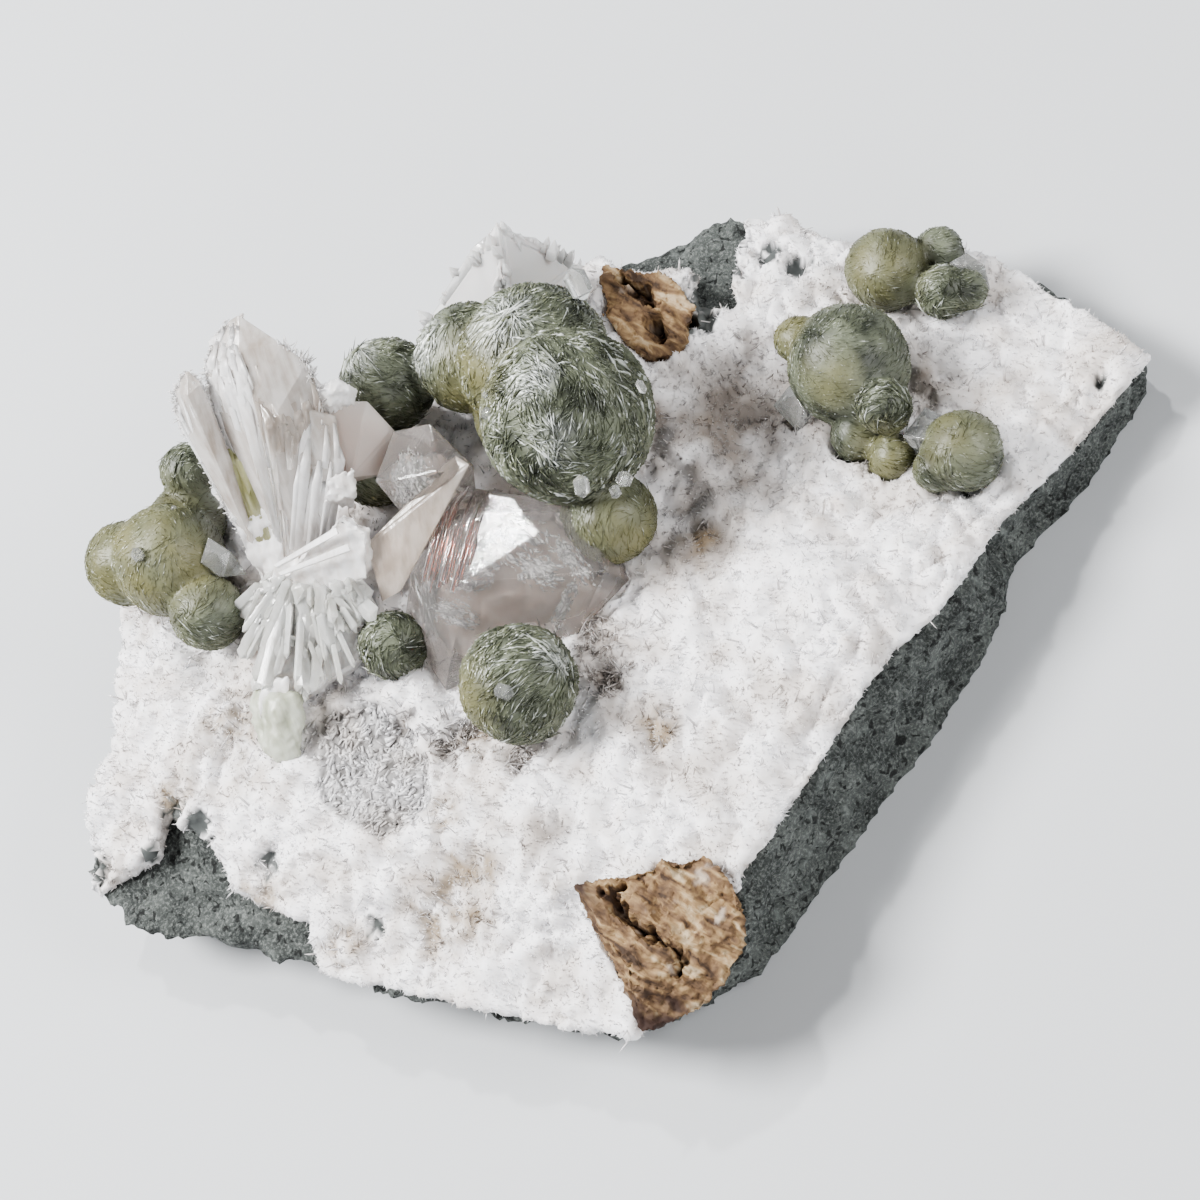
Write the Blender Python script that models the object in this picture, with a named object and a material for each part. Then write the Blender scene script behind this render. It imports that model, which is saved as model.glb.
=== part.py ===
"""A gyrolite specimen: green crystal balls, clear crystals and a bladed fan on a white
needle crust, over a broken plate of basalt that lies flat on its underside.

Shapes are worked out in millimetres and turned to metres when a mesh is made.
X runs along the plate, +Z is up, and the underside of the basalt is at z = 0.
"""

import math
from functools import partial

import bmesh
import bpy
from mathutils import Matrix, Vector, noise

MM = 0.001
GAP = 0.3

# The basalt plate: where its sides run, seen from above, at the rim and at the foot.
PLATE_CENTRE = (-2.0, 0.0)
RIM = [
    (-67.5, 16), (-64, 22), (-55, 25), (-50.5, 31), (-46.5, 38), (-43, 44), (-30, 46), (-10, 42),
    (8, 41), (20, 39.5), (28, 36), (39, 34), (45.5, 28), (48.5, 20), (58.5, 9), (61.5, -5),
    (63.5, -17.5), (61, -21.5), (52, -20), (38, -23), (28, -28), (19, -29), (5, -34), (-8, -38),
    (-14, -43), (-25, -42.5), (-31, -37), (-39, -26), (-49, -12.5), (-59, 3), (-65.5, 9.5),
]
FOOT = [
    (-61, 16), (-57.5, 22), (-50, 27), (-45, 36), (-39, 41), (-15, 40), (10, 38), (26, 31),
    (37, 31), (43, 26), (46, 17), (56, 6), (59.5, -5), (61, -18.5), (48, -21.5), (38, -22.5),
    (33, -26), (27, -30), (13, -34), (3, -36.5), (-8, -40), (-21, -39.5), (-27, -34),
    (-37, -20), (-50, -1), (-58, 11),
]
THICK_END = 14.0
THIN_END = 6.5
THINS_FROM_X, THINS_TO_X = 15.0, 55.0
FLANK_FROM, FLANK_TO = (-65.0, 16.0), (-25.0, -42.0)
FLANK_WIDTH, FLANK_DROP = 13.0, 5.0
HOLLOW_AT, HOLLOW_WIDTH, HOLLOW_DEPTH = (23.0, 7.0), 8.0, 3.2
WALL_ROUGHNESS, WALL_LUMP_WIDTH, WALL_LUMP_FLATNESS = 0.8, 4.0, 1.6
TOP_WAVE, TOP_WAVE_WIDTH = 0.35, 9.0
PLATE_AROUND = 48
TOP_ROWS = 8
WALL_ROWS = 3

# The white needle crust.
CRUST_THICKNESS = 2.5
CRUST_LUMP, CRUST_LUMP_WIDTH = 1.0, 7.0
CRUST_INSET = 0.992
CRUST_ROUNDING = 1.2

# Bare basalt, as outlines seen from above: a broken left corner and a patch at the back.
BARE_CORNER = [(-70, 17), (-63, 15), (-57, 13), (-53, 15.5), (-50.5, 8), (-52, 3), (-47, -6.5),
               (-52, -14), (-70, -5)]
BARE_BACK = [(25, 40), (27, 32), (33, 27.5), (30, 23), (33, 19.5), (36, 24), (39, 27.5),
             (45, 34), (36, 40)]

# Green gyrolite balls: each lobe is centre x, y, z and radius.
MAIN_LOBES = [
    (10.0, 11.0, 29.0, 9.5), (11.4, 21.0, 27.0, 8.6), (6.3, 28.1, 26.0, 6.2), (8.0, 20.0, 21.4, 6.9),
    (-2.7, 33.5, 25.0, 5.5), (-9.6, 29.0, 20.5, 4.6), (6.6, 3.2, 20.3, 5.2),
]
FRONT_LOBES = [(-12.4, -6.6, 21.8, 6.4)]
SMALL_LOBES = [(-20.8, 9.8, 18.9, 3.8)]
LEFT_LOBES = [
    (-39.2, 41.0, 21.5, 4.9), (-34.9, 36.9, 22.0, 6.6), (-26.9, 43.6, 24.0, 3.3),
    (-35.1, 28.8, 20.3, 4.4), (-31.0, 40.5, 20.5, 4.6),
]
RIGHT_UPPER_LOBES = [
    (48.4, 9.7, 13.2, 4.7), (54.3, 8.1, 11.5, 2.9), (51.2, 3.0, 12.4, 3.1), (53.3, 1.7, 11.9, 2.4),
]
RIGHT_MIDDLE_LOBES = [
    (37.4, 0.9, 16.5, 6.8), (35.2, 7.4, 17.0, 2.8), (36.8, -7.2, 18.2, 3.0), (32.9, -4.9, 13.6, 2.9),
    (34.2, -9.8, 13.4, 2.7),
]
RIGHT_LOWER_LOBES = [(40.0, -15.4, 14.2, 4.5), (36.6, -14.9, 14.0, 2.6)]
LOBE_SEGMENTS, SMALLEST_LOBE_SEGMENTS = 1.2, 3.0
LOBE_UNEVENNESS, LOBE_SWELL_WIDTH = 0.04, 3.5

# Clear and white crystals, each the hull of its corners.
BLOCK_CORNERS = [
    (-4, 16.4, 25), (5.4, 3.9, 24), (2.5, -2.4, 21.5), (-9.7, 5.1, 25.5), (3.8, -1.6, 15.7),
    (-5.1, -3, 16), (-19.4, 2.5, 16), (-18.9, 12.2, 16.5), (-14, 12, 24), (-5, 16, 15.8), (6, 5, 15.7),
]
ROUND_CORNERS = [
    (-10.6, 22.6, 27), (-9.4, 24, 22), (-5.5, 24.3, 29.5), (-1.9, 20.7, 31), (-1.2, 14.3, 28.5),
    (-4, 13.5, 23), (-10.7, 17.3, 23), (-8.6, 18.4, 30), (-4.6, 15.4, 30.5), (-10, 20, 20),
    (-3, 22, 21),
]
PYRAMID_CORNERS = [
    (17.9, 34.4, 33), (4, 37.9, 23), (12, 29, 25), (22.5, 31.5, 22), (22, 36, 16.5),
    (15, 38.5, 15.6), (3.5, 38, 16), (9, 30, 16.2), (20, 29, 16),
]
PINK_CORNERS = [
    (-9.4, 31.5, 32.4), (-5.6, 27.7, 32.3), (-5.4, 25.5, 28), (-8, 24.5, 23), (-12.4, 25.6, 26.5),
    (-13.4, 29.6, 28), (-12.5, 28, 21.5), (-9.4, 28.5, 20.5),
]
RIGHT_WEST_CORNERS = [
    (28.6, 5.2, 13.6), (30.4, 0.5, 14.6), (28.8, 1.2, 11.8), (31.8, 4.8, 15.4), (33, 2.4, 12.2),
    (30, 5.5, 11.9),
]
RIGHT_SOUTH_CORNERS = [
    (36.2, -10.3, 16.2), (40.2, -9.2, 16), (41.8, -11, 13), (38, -13.5, 17), (36.3, -11.5, 12),
    (39.4, -8.8, 11.6),
]
RIGHT_NORTH_CORNERS = [
    (53.6, 4.2, 14.4), (56, 4.4, 13.4), (56.6, 2.2, 12.4), (54.3, 4.8, 10.2), (57, 4.6, 9.4),
    (55.6, 1, 9.6),
]
LEFT_GLASSY_CORNERS = [
    (-31.9, 31.6, 24.6), (-29.4, 32.8, 25.6), (-28.5, 30.3, 24.2), (-31, 29.4, 22.6), (-29, 29.6, 20),
    (-32, 32, 20.5), (-29, 33, 20),
]

# The pale bladed fan, which spreads both ways from its root near (-27, 25, 20).
# Each blade: its corners along the outline, then its thickness.
FAN_BLADES = [
    ([(-27.8, 26, 20), (-22.6, 34.6, 30), (-15.9, 40.1, 40), (-10.3, 39.4, 44), (-7.6, 34.8, 37),
      (-7.6, 32.2, 33.6), (-16, 24.5, 24), (-24, 23, 19.5)], 2.6),
    ([(-28.6, 26.4, 20.4), (-25.6, 33.2, 29), (-19.9, 40.4, 39.8), (-18.5, 40.1, 41.4),
      (-17.6, 38, 38.4), (-23.4, 31, 28), (-26.2, 25, 20.4)], 1.4),
    ([(-27, 24.5, 22), (-15.4, 21.6, 28.2), (-14.4, 17.6, 27), (-17.5, 16.5, 22), (-25, 20.5, 20.5)], 2.4),
    ([(-29, 27, 21), (-24, 22, 21.5), (-21.6, 13.6, 19), (-24.5, 11.5, 17), (-33, 12.4, 17.5),
      (-33.5, 20.5, 19.5)], 3.0),
    ([(-34.4, 17, 20.3), (-31.4, 14.6, 19.6), (-35.8, 8.8, 17.2), (-39.2, 9.2, 16.6),
      (-38.4, 13, 18.2)], 3.4),
]

BLADE_FLATNESS = 0.8
SHARPEST_CORNER = 2.0

# Brown earthy casts, each the hull of its corners.
CAST_FRONT_CORNERS = [
    (-21.2, -27.4, 17.6), (-14, -31.5, 18.2), (-8.4, -34.4, 17.6), (-8.6, -41.2, 16),
    (-12.1, -44.2, 14.2), (-18.8, -45.4, 13), (-25.2, -43, 13), (-22.4, -38, 17),
    (-21, -30, 9), (-11.5, -35, 8), (-13, -40, 7.2), (-22, -39, 7.2),
]
CAST_BACK_CORNERS = [
    (25.3, 33.6, 16.4), (29.6, 27, 16.2), (29.8, 21.2, 15.6), (24.6, 17.9, 14.8), (21.4, 20.5, 16),
    (21.2, 27.5, 17.2), (24, 31.5, 9.8), (28, 23.5, 9.8), (22.5, 21, 10),
]

MODEL = "gyrolite_specimen"
CUTTERS = "cutters"

PAINTS = {
    "basalt": ((0.088, 0.105, 0.098), 0.85),
    "druse": ((0.80, 0.79, 0.79), 0.45),
    "gyrolite": ((0.22, 0.23, 0.13), 0.40),
    "clear_crystal": ((0.62, 0.58, 0.55), 0.15),
    "white_blades": ((0.70, 0.66, 0.62), 0.35),
    "pink_crystal": ((0.62, 0.50, 0.45), 0.20),
    "cast": ((0.30, 0.14, 0.06), 0.90),
}


def clear_scene():
    for thing in list(bpy.data.objects):
        bpy.data.objects.remove(thing, do_unlink=True)


def collection(name, shown):
    made = bpy.data.collections.new(name)
    bpy.context.scene.collection.children.link(made)
    made.hide_render = not shown
    return made


def paint(slot):
    """The Principled material of one kind of stone."""
    known = bpy.data.materials.get(slot)
    if known:
        return known
    colour, roughness = PAINTS[slot]
    made = bpy.data.materials.new(slot)
    made.use_nodes = True
    shader = made.node_tree.nodes["Principled BSDF"]
    shader.inputs["Base Color"].default_value = (*colour, 1.0)
    shader.inputs["Roughness"].default_value = roughness
    shader.inputs["Metallic"].default_value = 0.0
    return made


def object_of(bm, name):
    """A new helper object from a bmesh in millimetres."""
    bmesh.ops.scale(bm, vec=(MM, MM, MM), verts=bm.verts)
    mesh = bpy.data.meshes.new(name)
    bm.to_mesh(mesh)
    bm.free()
    made = bpy.data.objects.new(name, mesh)
    bpy.data.collections[CUTTERS].objects.link(made)
    made.hide_render = True
    made.display_type = "WIRE"
    return made


def finish_piece(made, name, slot):
    """Turns a helper into a piece of the model, with its name and its material."""
    made.name = name
    made.data.name = name
    bpy.data.collections[CUTTERS].objects.unlink(made)
    bpy.data.collections[MODEL].objects.link(made)
    made.hide_render = False
    made.display_type = "TEXTURED"
    made.data.materials.clear()
    made.data.materials.append(paint(slot))
    made.data.shade_smooth()
    made.data.set_sharp_from_angle(angle=math.radians(35))
    return made


def boolean(target, tool, operation):
    """Joins or cuts with the exact solver, and keeps the result as the target's mesh."""
    modifier = target.modifiers.new(operation, "BOOLEAN")
    modifier.operation = operation
    modifier.solver = "EXACT"
    modifier.object = tool
    graph = bpy.context.evaluated_depsgraph_get()
    result = bpy.data.meshes.new_from_object(target.evaluated_get(graph))
    target.modifiers.clear()
    target.data = result


def keep_largest_body(target):
    """Deletes the crumbs that a cut leaves beside the piece."""
    bm = bmesh.new()
    bm.from_mesh(target.data)
    unseen = set(bm.verts)
    bodies = []
    while unseen:
        body, waiting = set(), [unseen.pop()]
        while waiting:
            vert = waiting.pop()
            body.add(vert)
            for edge in vert.link_edges:
                other = edge.other_vert(vert)
                if other in unseen:
                    unseen.discard(other)
                    waiting.append(other)
        bodies.append(body)
    bodies.sort(key=len)
    for body in bodies[:-1]:
        bmesh.ops.delete(bm, geom=list(body), context="VERTS")
    bm.to_mesh(target.data)
    bm.free()


def carve(target, makers):
    """Cuts the seat of each neighbour out of the target, so that they meet without overlap."""
    for make in makers:
        boolean(target, make(GAP), "DIFFERENCE")
    keep_largest_body(target)


def smooth_step(low, high, value):
    share = min(max((value - low) / (high - low), 0.0), 1.0)
    return share * share * (3 - 2 * share)


def reach(outline, angle):
    """How far the outline is from the plate's centre in this direction."""
    cx, cy = PLATE_CENTRE
    dx, dy = math.cos(angle), math.sin(angle)
    for (ax, ay), (bx, by) in zip(outline, outline[1:] + outline[:1]):
        ex, ey = bx - ax, by - ay
        turn = dx * ey - dy * ex
        if abs(turn) < 1e-9:
            continue
        far = ((ax - cx) * ey - (ay - cy) * ex) / turn
        share = ((ax - cx) * dy - (ay - cy) * dx) / turn
        if far > 0 and 0 <= share < 1:
            return far
    raise ValueError("the outline doesn't go round the centre")


def flank_distance(x, y):
    """How far a point is inside the plate's lower left side."""
    (ax, ay), (bx, by) = FLANK_FROM, FLANK_TO
    length = math.hypot(bx - ax, by - ay)
    return ((bx - ax) * (y - ay) - (by - ay) * (x - ax)) / length


def basalt_top(x, y):
    """Height of the basalt's upper face: thick at the left, thin at the right, with a hollow."""
    height = THICK_END - (THICK_END - THIN_END) * smooth_step(THINS_FROM_X, THINS_TO_X, x)
    height -= FLANK_DROP * (1 - smooth_step(0.0, FLANK_WIDTH, flank_distance(x, y)))
    away = math.hypot(x - HOLLOW_AT[0], y - HOLLOW_AT[1])
    height -= HOLLOW_DEPTH * math.exp(-0.5 * (away / HOLLOW_WIDTH) ** 2)
    return height + TOP_WAVE * noise.noise(Vector((x, y, 0)) / TOP_WAVE_WIDTH)


def crust_top(x, y):
    lump = noise.noise(Vector((x, y, 40)) / CRUST_LUMP_WIDTH)
    return basalt_top(x, y) + CRUST_THICKNESS + CRUST_LUMP * lump


def on_plate(outline, angle, share):
    """The point at this share of the way from the plate's centre to the outline."""
    far = reach(outline, angle) * share
    return PLATE_CENTRE[0] + far * math.cos(angle), PLATE_CENTRE[1] + far * math.sin(angle)


def reshaped_ball(name, around, rows, place):
    """A UV sphere whose rings are moved, row by row from its top, to make a slab."""
    bm = bmesh.new()
    bmesh.ops.create_uvsphere(bm, u_segments=around, v_segments=rows, radius=1.0)
    for vert in bm.verts:
        row = round(math.acos(max(-1.0, min(1.0, vert.co.z))) / math.pi * rows)
        angle = math.atan2(vert.co.y, vert.co.x) if 0 < row < rows else 0.0
        vert.co = place(row, angle)
    bmesh.ops.triangulate(bm, faces=bm.faces)
    bmesh.ops.recalc_face_normals(bm, faces=bm.faces)
    return object_of(bm, name)


def basalt_point(row, angle):
    if row <= TOP_ROWS:
        x, y = on_plate(RIM, angle, row / TOP_ROWS)
        return Vector((x, y, basalt_top(x, y)))
    down = (row - TOP_ROWS) / WALL_ROWS
    if down > 1:
        return Vector((*PLATE_CENTRE, 0.0))
    rim_x, rim_y = on_plate(RIM, angle, 1.0)
    foot_x, foot_y = on_plate(FOOT, angle, 1.0)
    height = basalt_top(rim_x, rim_y) * (1 - down)
    uneven = WALL_ROUGHNESS * noise.noise(Vector((rim_x, rim_y, height * WALL_LUMP_FLATNESS)) / WALL_LUMP_WIDTH)
    out = Vector((math.cos(angle), math.sin(angle), 0)) * uneven
    return Vector((rim_x, rim_y, height)).lerp(Vector((foot_x, foot_y, height)), down) + out


def crust_point(row, angle):
    if row <= TOP_ROWS:
        share = CRUST_INSET * row / TOP_ROWS
        x, y = on_plate(RIM, angle, share)
        rounding = CRUST_ROUNDING * smooth_step(0.9, 1.0, row / TOP_ROWS)
        return Vector((x, y, crust_top(x, y) - rounding))
    share = CRUST_INSET * (2 * TOP_ROWS + 1 - row) / TOP_ROWS
    x, y = on_plate(RIM, angle, share)
    return Vector((x, y, basalt_top(x, y) + 1.5 * GAP))


def plate_of_basalt():
    return reshaped_ball("plate", PLATE_AROUND, TOP_ROWS + WALL_ROWS + 1, basalt_point)


def needle_crust():
    return reshaped_ball("crust", PLATE_AROUND, 2 * TOP_ROWS + 1, crust_point)


def prism(name, outline, low, high):
    """An upright block over an outline, as a curve filled on both sides and extruded."""
    curve = bpy.data.curves.new(name, "CURVE")
    curve.dimensions = "2D"
    curve.fill_mode = "BOTH"
    curve.extrude = (high - low) / 2 * MM
    spline = curve.splines.new("POLY")
    spline.points.add(len(outline) - 1)
    for point, (x, y) in zip(spline.points, outline):
        point.co = (x * MM, y * MM, 0, 1)
    spline.use_cyclic_u = True
    drawn = bpy.data.objects.new(name, curve)
    drawn.location.z = (low + high) / 2 * MM
    bpy.data.collections[CUTTERS].objects.link(drawn)
    graph = bpy.context.evaluated_depsgraph_get()
    mesh = bpy.data.meshes.new_from_object(drawn.evaluated_get(graph))
    mesh.transform(drawn.matrix_world)
    bpy.data.objects.remove(drawn)
    bm = bmesh.new()
    bm.from_mesh(mesh)
    bmesh.ops.remove_doubles(bm, verts=bm.verts, dist=1e-6)
    bmesh.ops.recalc_face_normals(bm, faces=bm.faces)
    bmesh.ops.scale(bm, vec=(1 / MM, 1 / MM, 1 / MM), verts=bm.verts)
    return object_of(bm, name)


def lobe(centre_x, centre_y, centre_z, radius, grow):
    """One gyrolite ball, a little uneven, with more facets the bigger it is."""
    around = 2 * round(SMALLEST_LOBE_SEGMENTS + LOBE_SEGMENTS * radius ** 0.5)
    bm = bmesh.new()
    bmesh.ops.create_uvsphere(bm, u_segments=around, v_segments=around // 2 + 1, radius=radius)
    centre = Vector((centre_x, centre_y, centre_z))
    for vert in bm.verts:
        swell = noise.noise((vert.co + centre) / LOBE_SWELL_WIDTH)
        vert.co *= 1 + LOBE_UNEVENNESS * swell + grow / radius
        vert.co += centre
    bmesh.ops.triangulate(bm, faces=bm.faces)
    return object_of(bm, "lobe")


def gyrolite_balls(lobes, grow=0.0):
    made = lobe(*lobes[0], grow)
    for more in lobes[1:]:
        boolean(made, lobe(*more, grow), "UNION")
    return made


def hull(corners, grow=0.0):
    """The convex hull of some corners, its faces moved out by the margin that a seat needs."""
    bm = bmesh.new()
    for corner in corners:
        bm.verts.new(corner)
    bmesh.ops.convex_hull(bm, input=bm.verts)
    inner = [v for v in bm.verts if not v.link_faces]
    bmesh.ops.delete(bm, geom=inner, context="VERTS")
    bmesh.ops.recalc_face_normals(bm, faces=bm.faces)
    bm.normal_update()
    steps = [v.normal * (grow * min(v.calc_shell_factor(), SHARPEST_CORNER)) for v in bm.verts]
    for vert, step in zip(bm.verts, steps):
        vert.co += step
    return object_of(bm, "hull")


def blade(outline, thickness, grow):
    """A flat crystal blade: the hull of its outline, moved half its thickness to each side."""
    points = [Vector(p) for p in outline]
    middle = sum(points, Vector()) / len(points)
    normal = Vector()
    for first, second in zip(points, points[1:] + points[:1]):
        normal += (first - middle).cross(second - middle)
    normal.normalize()
    flat = [p - normal * (p - middle).dot(normal) * BLADE_FLATNESS for p in points]
    return hull([p + normal * (side * thickness / 2) for p in flat for side in (-1, 1)], grow)


def bladed_fan(grow=0.0):
    made = blade(*FAN_BLADES[0], grow)
    for more in FAN_BLADES[1:]:
        boolean(made, blade(*more, grow), "UNION")
    return made


def block_crystals(grow=0.0):
    made = hull(BLOCK_CORNERS, grow)
    boolean(made, hull(ROUND_CORNERS, grow), "UNION")
    return made


BALLS = {
    "gyrolite_main_cluster": MAIN_LOBES,
    "gyrolite_front_ball": FRONT_LOBES,
    "gyrolite_small_ball": SMALL_LOBES,
    "gyrolite_left_cluster": LEFT_LOBES,
    "gyrolite_right_upper": RIGHT_UPPER_LOBES,
    "gyrolite_right_middle": RIGHT_MIDDLE_LOBES,
    "gyrolite_right_lower": RIGHT_LOWER_LOBES,
}
CRYSTALS = {
    "pink_crystal": (PINK_CORNERS, "pink_crystal"),
    "pyramid_crystals": (PYRAMID_CORNERS, "clear_crystal"),
    "glassy_crystal_left": (LEFT_GLASSY_CORNERS, "clear_crystal"),
    "clear_crystal_right_west": (RIGHT_WEST_CORNERS, "clear_crystal"),
    "clear_crystal_right_south": (RIGHT_SOUTH_CORNERS, "clear_crystal"),
    "clear_crystal_right_north": (RIGHT_NORTH_CORNERS, "clear_crystal"),
    "brown_cast_front": (CAST_FRONT_CORNERS, "cast"),
    "brown_cast_back": (CAST_BACK_CORNERS, "cast"),
}
# Where two pieces meet, the one named first gives way to the ones after it.
GIVES_WAY = {
    "gyrolite_right_lower": ["gyrolite_right_middle"],
    "gyrolite_right_middle": ["gyrolite_right_upper"],
    "bladed_fan": ["gyrolite_left_cluster", "gyrolite_small_ball", "gyrolite_main_cluster"],
    "clear_block_crystals": [
        "gyrolite_main_cluster", "gyrolite_front_ball", "gyrolite_small_ball", "bladed_fan",
    ],
    "pink_crystal": ["bladed_fan", "gyrolite_main_cluster", "clear_block_crystals"],
    "pyramid_crystals": ["gyrolite_main_cluster"],
    "glassy_crystal_left": ["gyrolite_left_cluster", "bladed_fan"],
    "clear_crystal_right_west": ["gyrolite_right_middle"],
    "clear_crystal_right_south": ["gyrolite_right_middle", "gyrolite_right_lower"],
    "clear_crystal_right_north": ["gyrolite_right_upper"],
    "brown_cast_back": ["gyrolite_main_cluster", "pyramid_crystals"],
}


def makers():
    """Each seated piece's name, with the function that makes it at a given margin."""
    made = {name: partial(gyrolite_balls, lobes) for name, lobes in BALLS.items()}
    made["bladed_fan"] = bladed_fan
    made["clear_block_crystals"] = block_crystals
    made |= {name: partial(hull, corners) for name, (corners, _) in CRYSTALS.items()}
    return made


def slot_of(name):
    if name in CRYSTALS:
        return CRYSTALS[name][1]
    return {"bladed_fan": "white_blades", "clear_block_crystals": "clear_crystal"}.get(name, "gyrolite")


def centre_on_origin(pieces):
    """Moves all pieces sideways together, so that the middle of the whole is over the origin."""
    corners = [vert.co for piece in pieces for vert in piece.data.vertices]
    middle = [(min(c[axis] for c in corners) + max(c[axis] for c in corners)) / 2 for axis in (0, 1)]
    for piece in pieces:
        piece.data.transform(Matrix.Translation((-middle[0], -middle[1], 0.0)))


def main():
    clear_scene()
    collection(MODEL, True)
    collection(CUTTERS, False)

    make = makers()
    for name in make:
        piece = make[name]()
        carve(piece, [make[other] for other in GIVES_WAY.get(name, [])])
        finish_piece(piece, name, slot_of(name))

    crust = needle_crust()
    for outline in (BARE_CORNER, BARE_BACK):
        boolean(crust, prism("bare_patch", outline, -5.0, 40.0), "DIFFERENCE")
    carve(crust, make.values())
    finish_piece(crust, "needle_druse_crust", "druse")

    plate = plate_of_basalt()
    carve(plate, make.values())
    finish_piece(plate, "basalt_matrix", "basalt")

    for helper in list(bpy.data.collections[CUTTERS].objects):
        bpy.data.objects.remove(helper)
    centre_on_origin(bpy.data.collections[MODEL].objects)


main()
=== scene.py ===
# %% [markdown]
# # A gyrolite specimen, finished in Blender
#
# The real object is a hand-sized plate of basalt. Hot water once filled its gas bubbles
# and cracks, and grew a white felt of needles on it, then green balls of gyrolite, clear
# block crystals and a pale fan of blades. The imported model that this lesson starts from
# holds the size and the place of every stone. Here each one gets its real surface.
#
# The first cell loads that model as a fixed frame.

# %% Load the frame
import math

import bmesh
import bpy
import numpy as np
from mathutils import Matrix, Vector, kdtree, noise


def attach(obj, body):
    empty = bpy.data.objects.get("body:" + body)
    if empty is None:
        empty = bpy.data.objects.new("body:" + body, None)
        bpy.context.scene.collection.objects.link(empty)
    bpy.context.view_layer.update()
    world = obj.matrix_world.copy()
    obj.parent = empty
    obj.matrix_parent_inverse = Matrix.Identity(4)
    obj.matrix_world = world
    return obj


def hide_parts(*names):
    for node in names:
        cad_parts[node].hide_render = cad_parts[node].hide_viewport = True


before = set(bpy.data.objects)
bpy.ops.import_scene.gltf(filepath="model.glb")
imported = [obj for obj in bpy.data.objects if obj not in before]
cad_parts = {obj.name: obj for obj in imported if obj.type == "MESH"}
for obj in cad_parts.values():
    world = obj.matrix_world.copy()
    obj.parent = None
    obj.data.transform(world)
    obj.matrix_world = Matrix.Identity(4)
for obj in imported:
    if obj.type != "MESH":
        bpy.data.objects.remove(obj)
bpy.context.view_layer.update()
MM = 0.001

# %% [markdown]
# ## Camera, light and floor
#
# The photograph looks down on the crystal-covered face at about 57 degrees, with the
# picture turned so that "up" out of the plate leans to the left. An 85 mm lens from
# about 31 cm gives the same perspective. The specimen lies flat, so the camera is turned
# and not the stone.
#
# A crust of needles lives from light that grazes it. One large soft light from the upper
# left shapes the balls, a weaker one from the right keeps the basalt wall readable, and
# a small hard one far away gives the glints that a mineral photographer looks for.

# %% Camera
TARGET_MM = Vector((1.6, -0.8, 14.0))
CAMERA_AWAY_MM = 312.0
CAMERA_ELEVATION = math.radians(57.0)
PICTURE_TURN = math.radians(40.0)
SENSOR_MM, LENS_MM = 36.0, 85.0


def aim(thing, place, target, turn=0.0):
    """Puts an object at a place and points its -Z axis at a target."""
    look = (target - place).to_track_quat("-Z", "Y").to_matrix().to_4x4()
    thing.matrix_world = Matrix.Translation(place) @ look @ Matrix.Rotation(turn, 4, "Z")


def link(thing):
    bpy.context.scene.collection.objects.link(thing)
    return thing


towards = Vector((0, -math.cos(CAMERA_ELEVATION), math.sin(CAMERA_ELEVATION)))
target = TARGET_MM * MM
camera = link(bpy.data.objects.new("camera", bpy.data.cameras.new("camera")))
camera.data.sensor_width = SENSOR_MM
camera.data.lens = LENS_MM
camera.data.clip_start = 0.01
aim(camera, target + towards * CAMERA_AWAY_MM * MM, target, -PICTURE_TURN)
bpy.context.scene.camera = camera
print("camera at", [round(v / MM) for v in camera.matrix_world.translation], "mm")

# %% Lights
# Each light: where it stands from the target in mm, its size in mm and its power in watts.
LIGHTS = {
    "soft_main": ((-330, 260, 520), 260, 9.6),
    "soft_side": ((430, -330, 330), 260, 2.4),
    "soft_front": ((-120, -520, 300), 300, 1.3),
    "glint": ((120, 420, 640), 40, 2.4),
}
SKY_COLOUR, SKY_STRENGTH = (0.80, 0.83, 0.88, 1), 0.20
for name, (place, size, power) in LIGHTS.items():
    lamp = link(bpy.data.objects.new(name, bpy.data.lights.new(name, "AREA")))
    lamp.data.size = size * MM
    lamp.data.energy = power
    aim(lamp, target + Vector(place) * MM, target)

world = bpy.data.worlds.new("studio")
world.use_nodes = True
sky = world.node_tree.nodes["Background"].inputs
sky["Color"].default_value = SKY_COLOUR
sky["Strength"].default_value = SKY_STRENGTH
bpy.context.scene.world = world
bpy.context.scene.view_settings.view_transform = "AgX"
bpy.context.scene.view_settings.look = "AgX - Medium High Contrast"
print("lights:", ", ".join(LIGHTS))

# %% [markdown]
# ## Three helpers for materials
#
# Mineral colours are easiest to read off a picture as sRGB hex values, while shaders
# calculate in linear light. One function turns the first into the second. A second small
# function adds any node with its settings and its links, so that a material reads as a
# short list of what feeds what. The third starts a material from one Principled shader.


# %% Material helpers
def linear(hex_colour):
    """A linear colour with alpha from an sRGB hex value such as e8e4e0."""
    parts = [int(hex_colour[i : i + 2], 16) / 255 for i in (0, 2, 4)]
    return (*[p / 12.92 if p <= 0.04045 else ((p + 0.055) / 1.055) ** 2.4 for p in parts], 1.0)


def feed(node, **links):
    """Links a node's sockets, named with _ for a space, each from a node or from one output."""
    for socket_name, source in links.items():
        if isinstance(source, bpy.types.Node):
            source = next(output for output in source.outputs if output.enabled)
        node.id_data.links.new(source, node.inputs[socket_name.replace("_", " ")])


def add(tree, kind, settings=None, **links):
    """Adds a node: settings are its properties, socket values or a ramp's stops."""
    node = tree.nodes.new(kind)
    for key, value in (settings or {}).items():
        if key == "stops":
            elements = node.color_ramp.elements
            while len(elements) < len(value):
                elements.new(0.5)
            for element, (position, colour) in zip(elements, value):
                element.position = position
                element.color = linear(colour)
        elif hasattr(node, key) and key not in node.inputs:
            setattr(node, key, value)
        else:
            node.inputs[key].default_value = value
    feed(node, **links)
    return node


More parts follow.
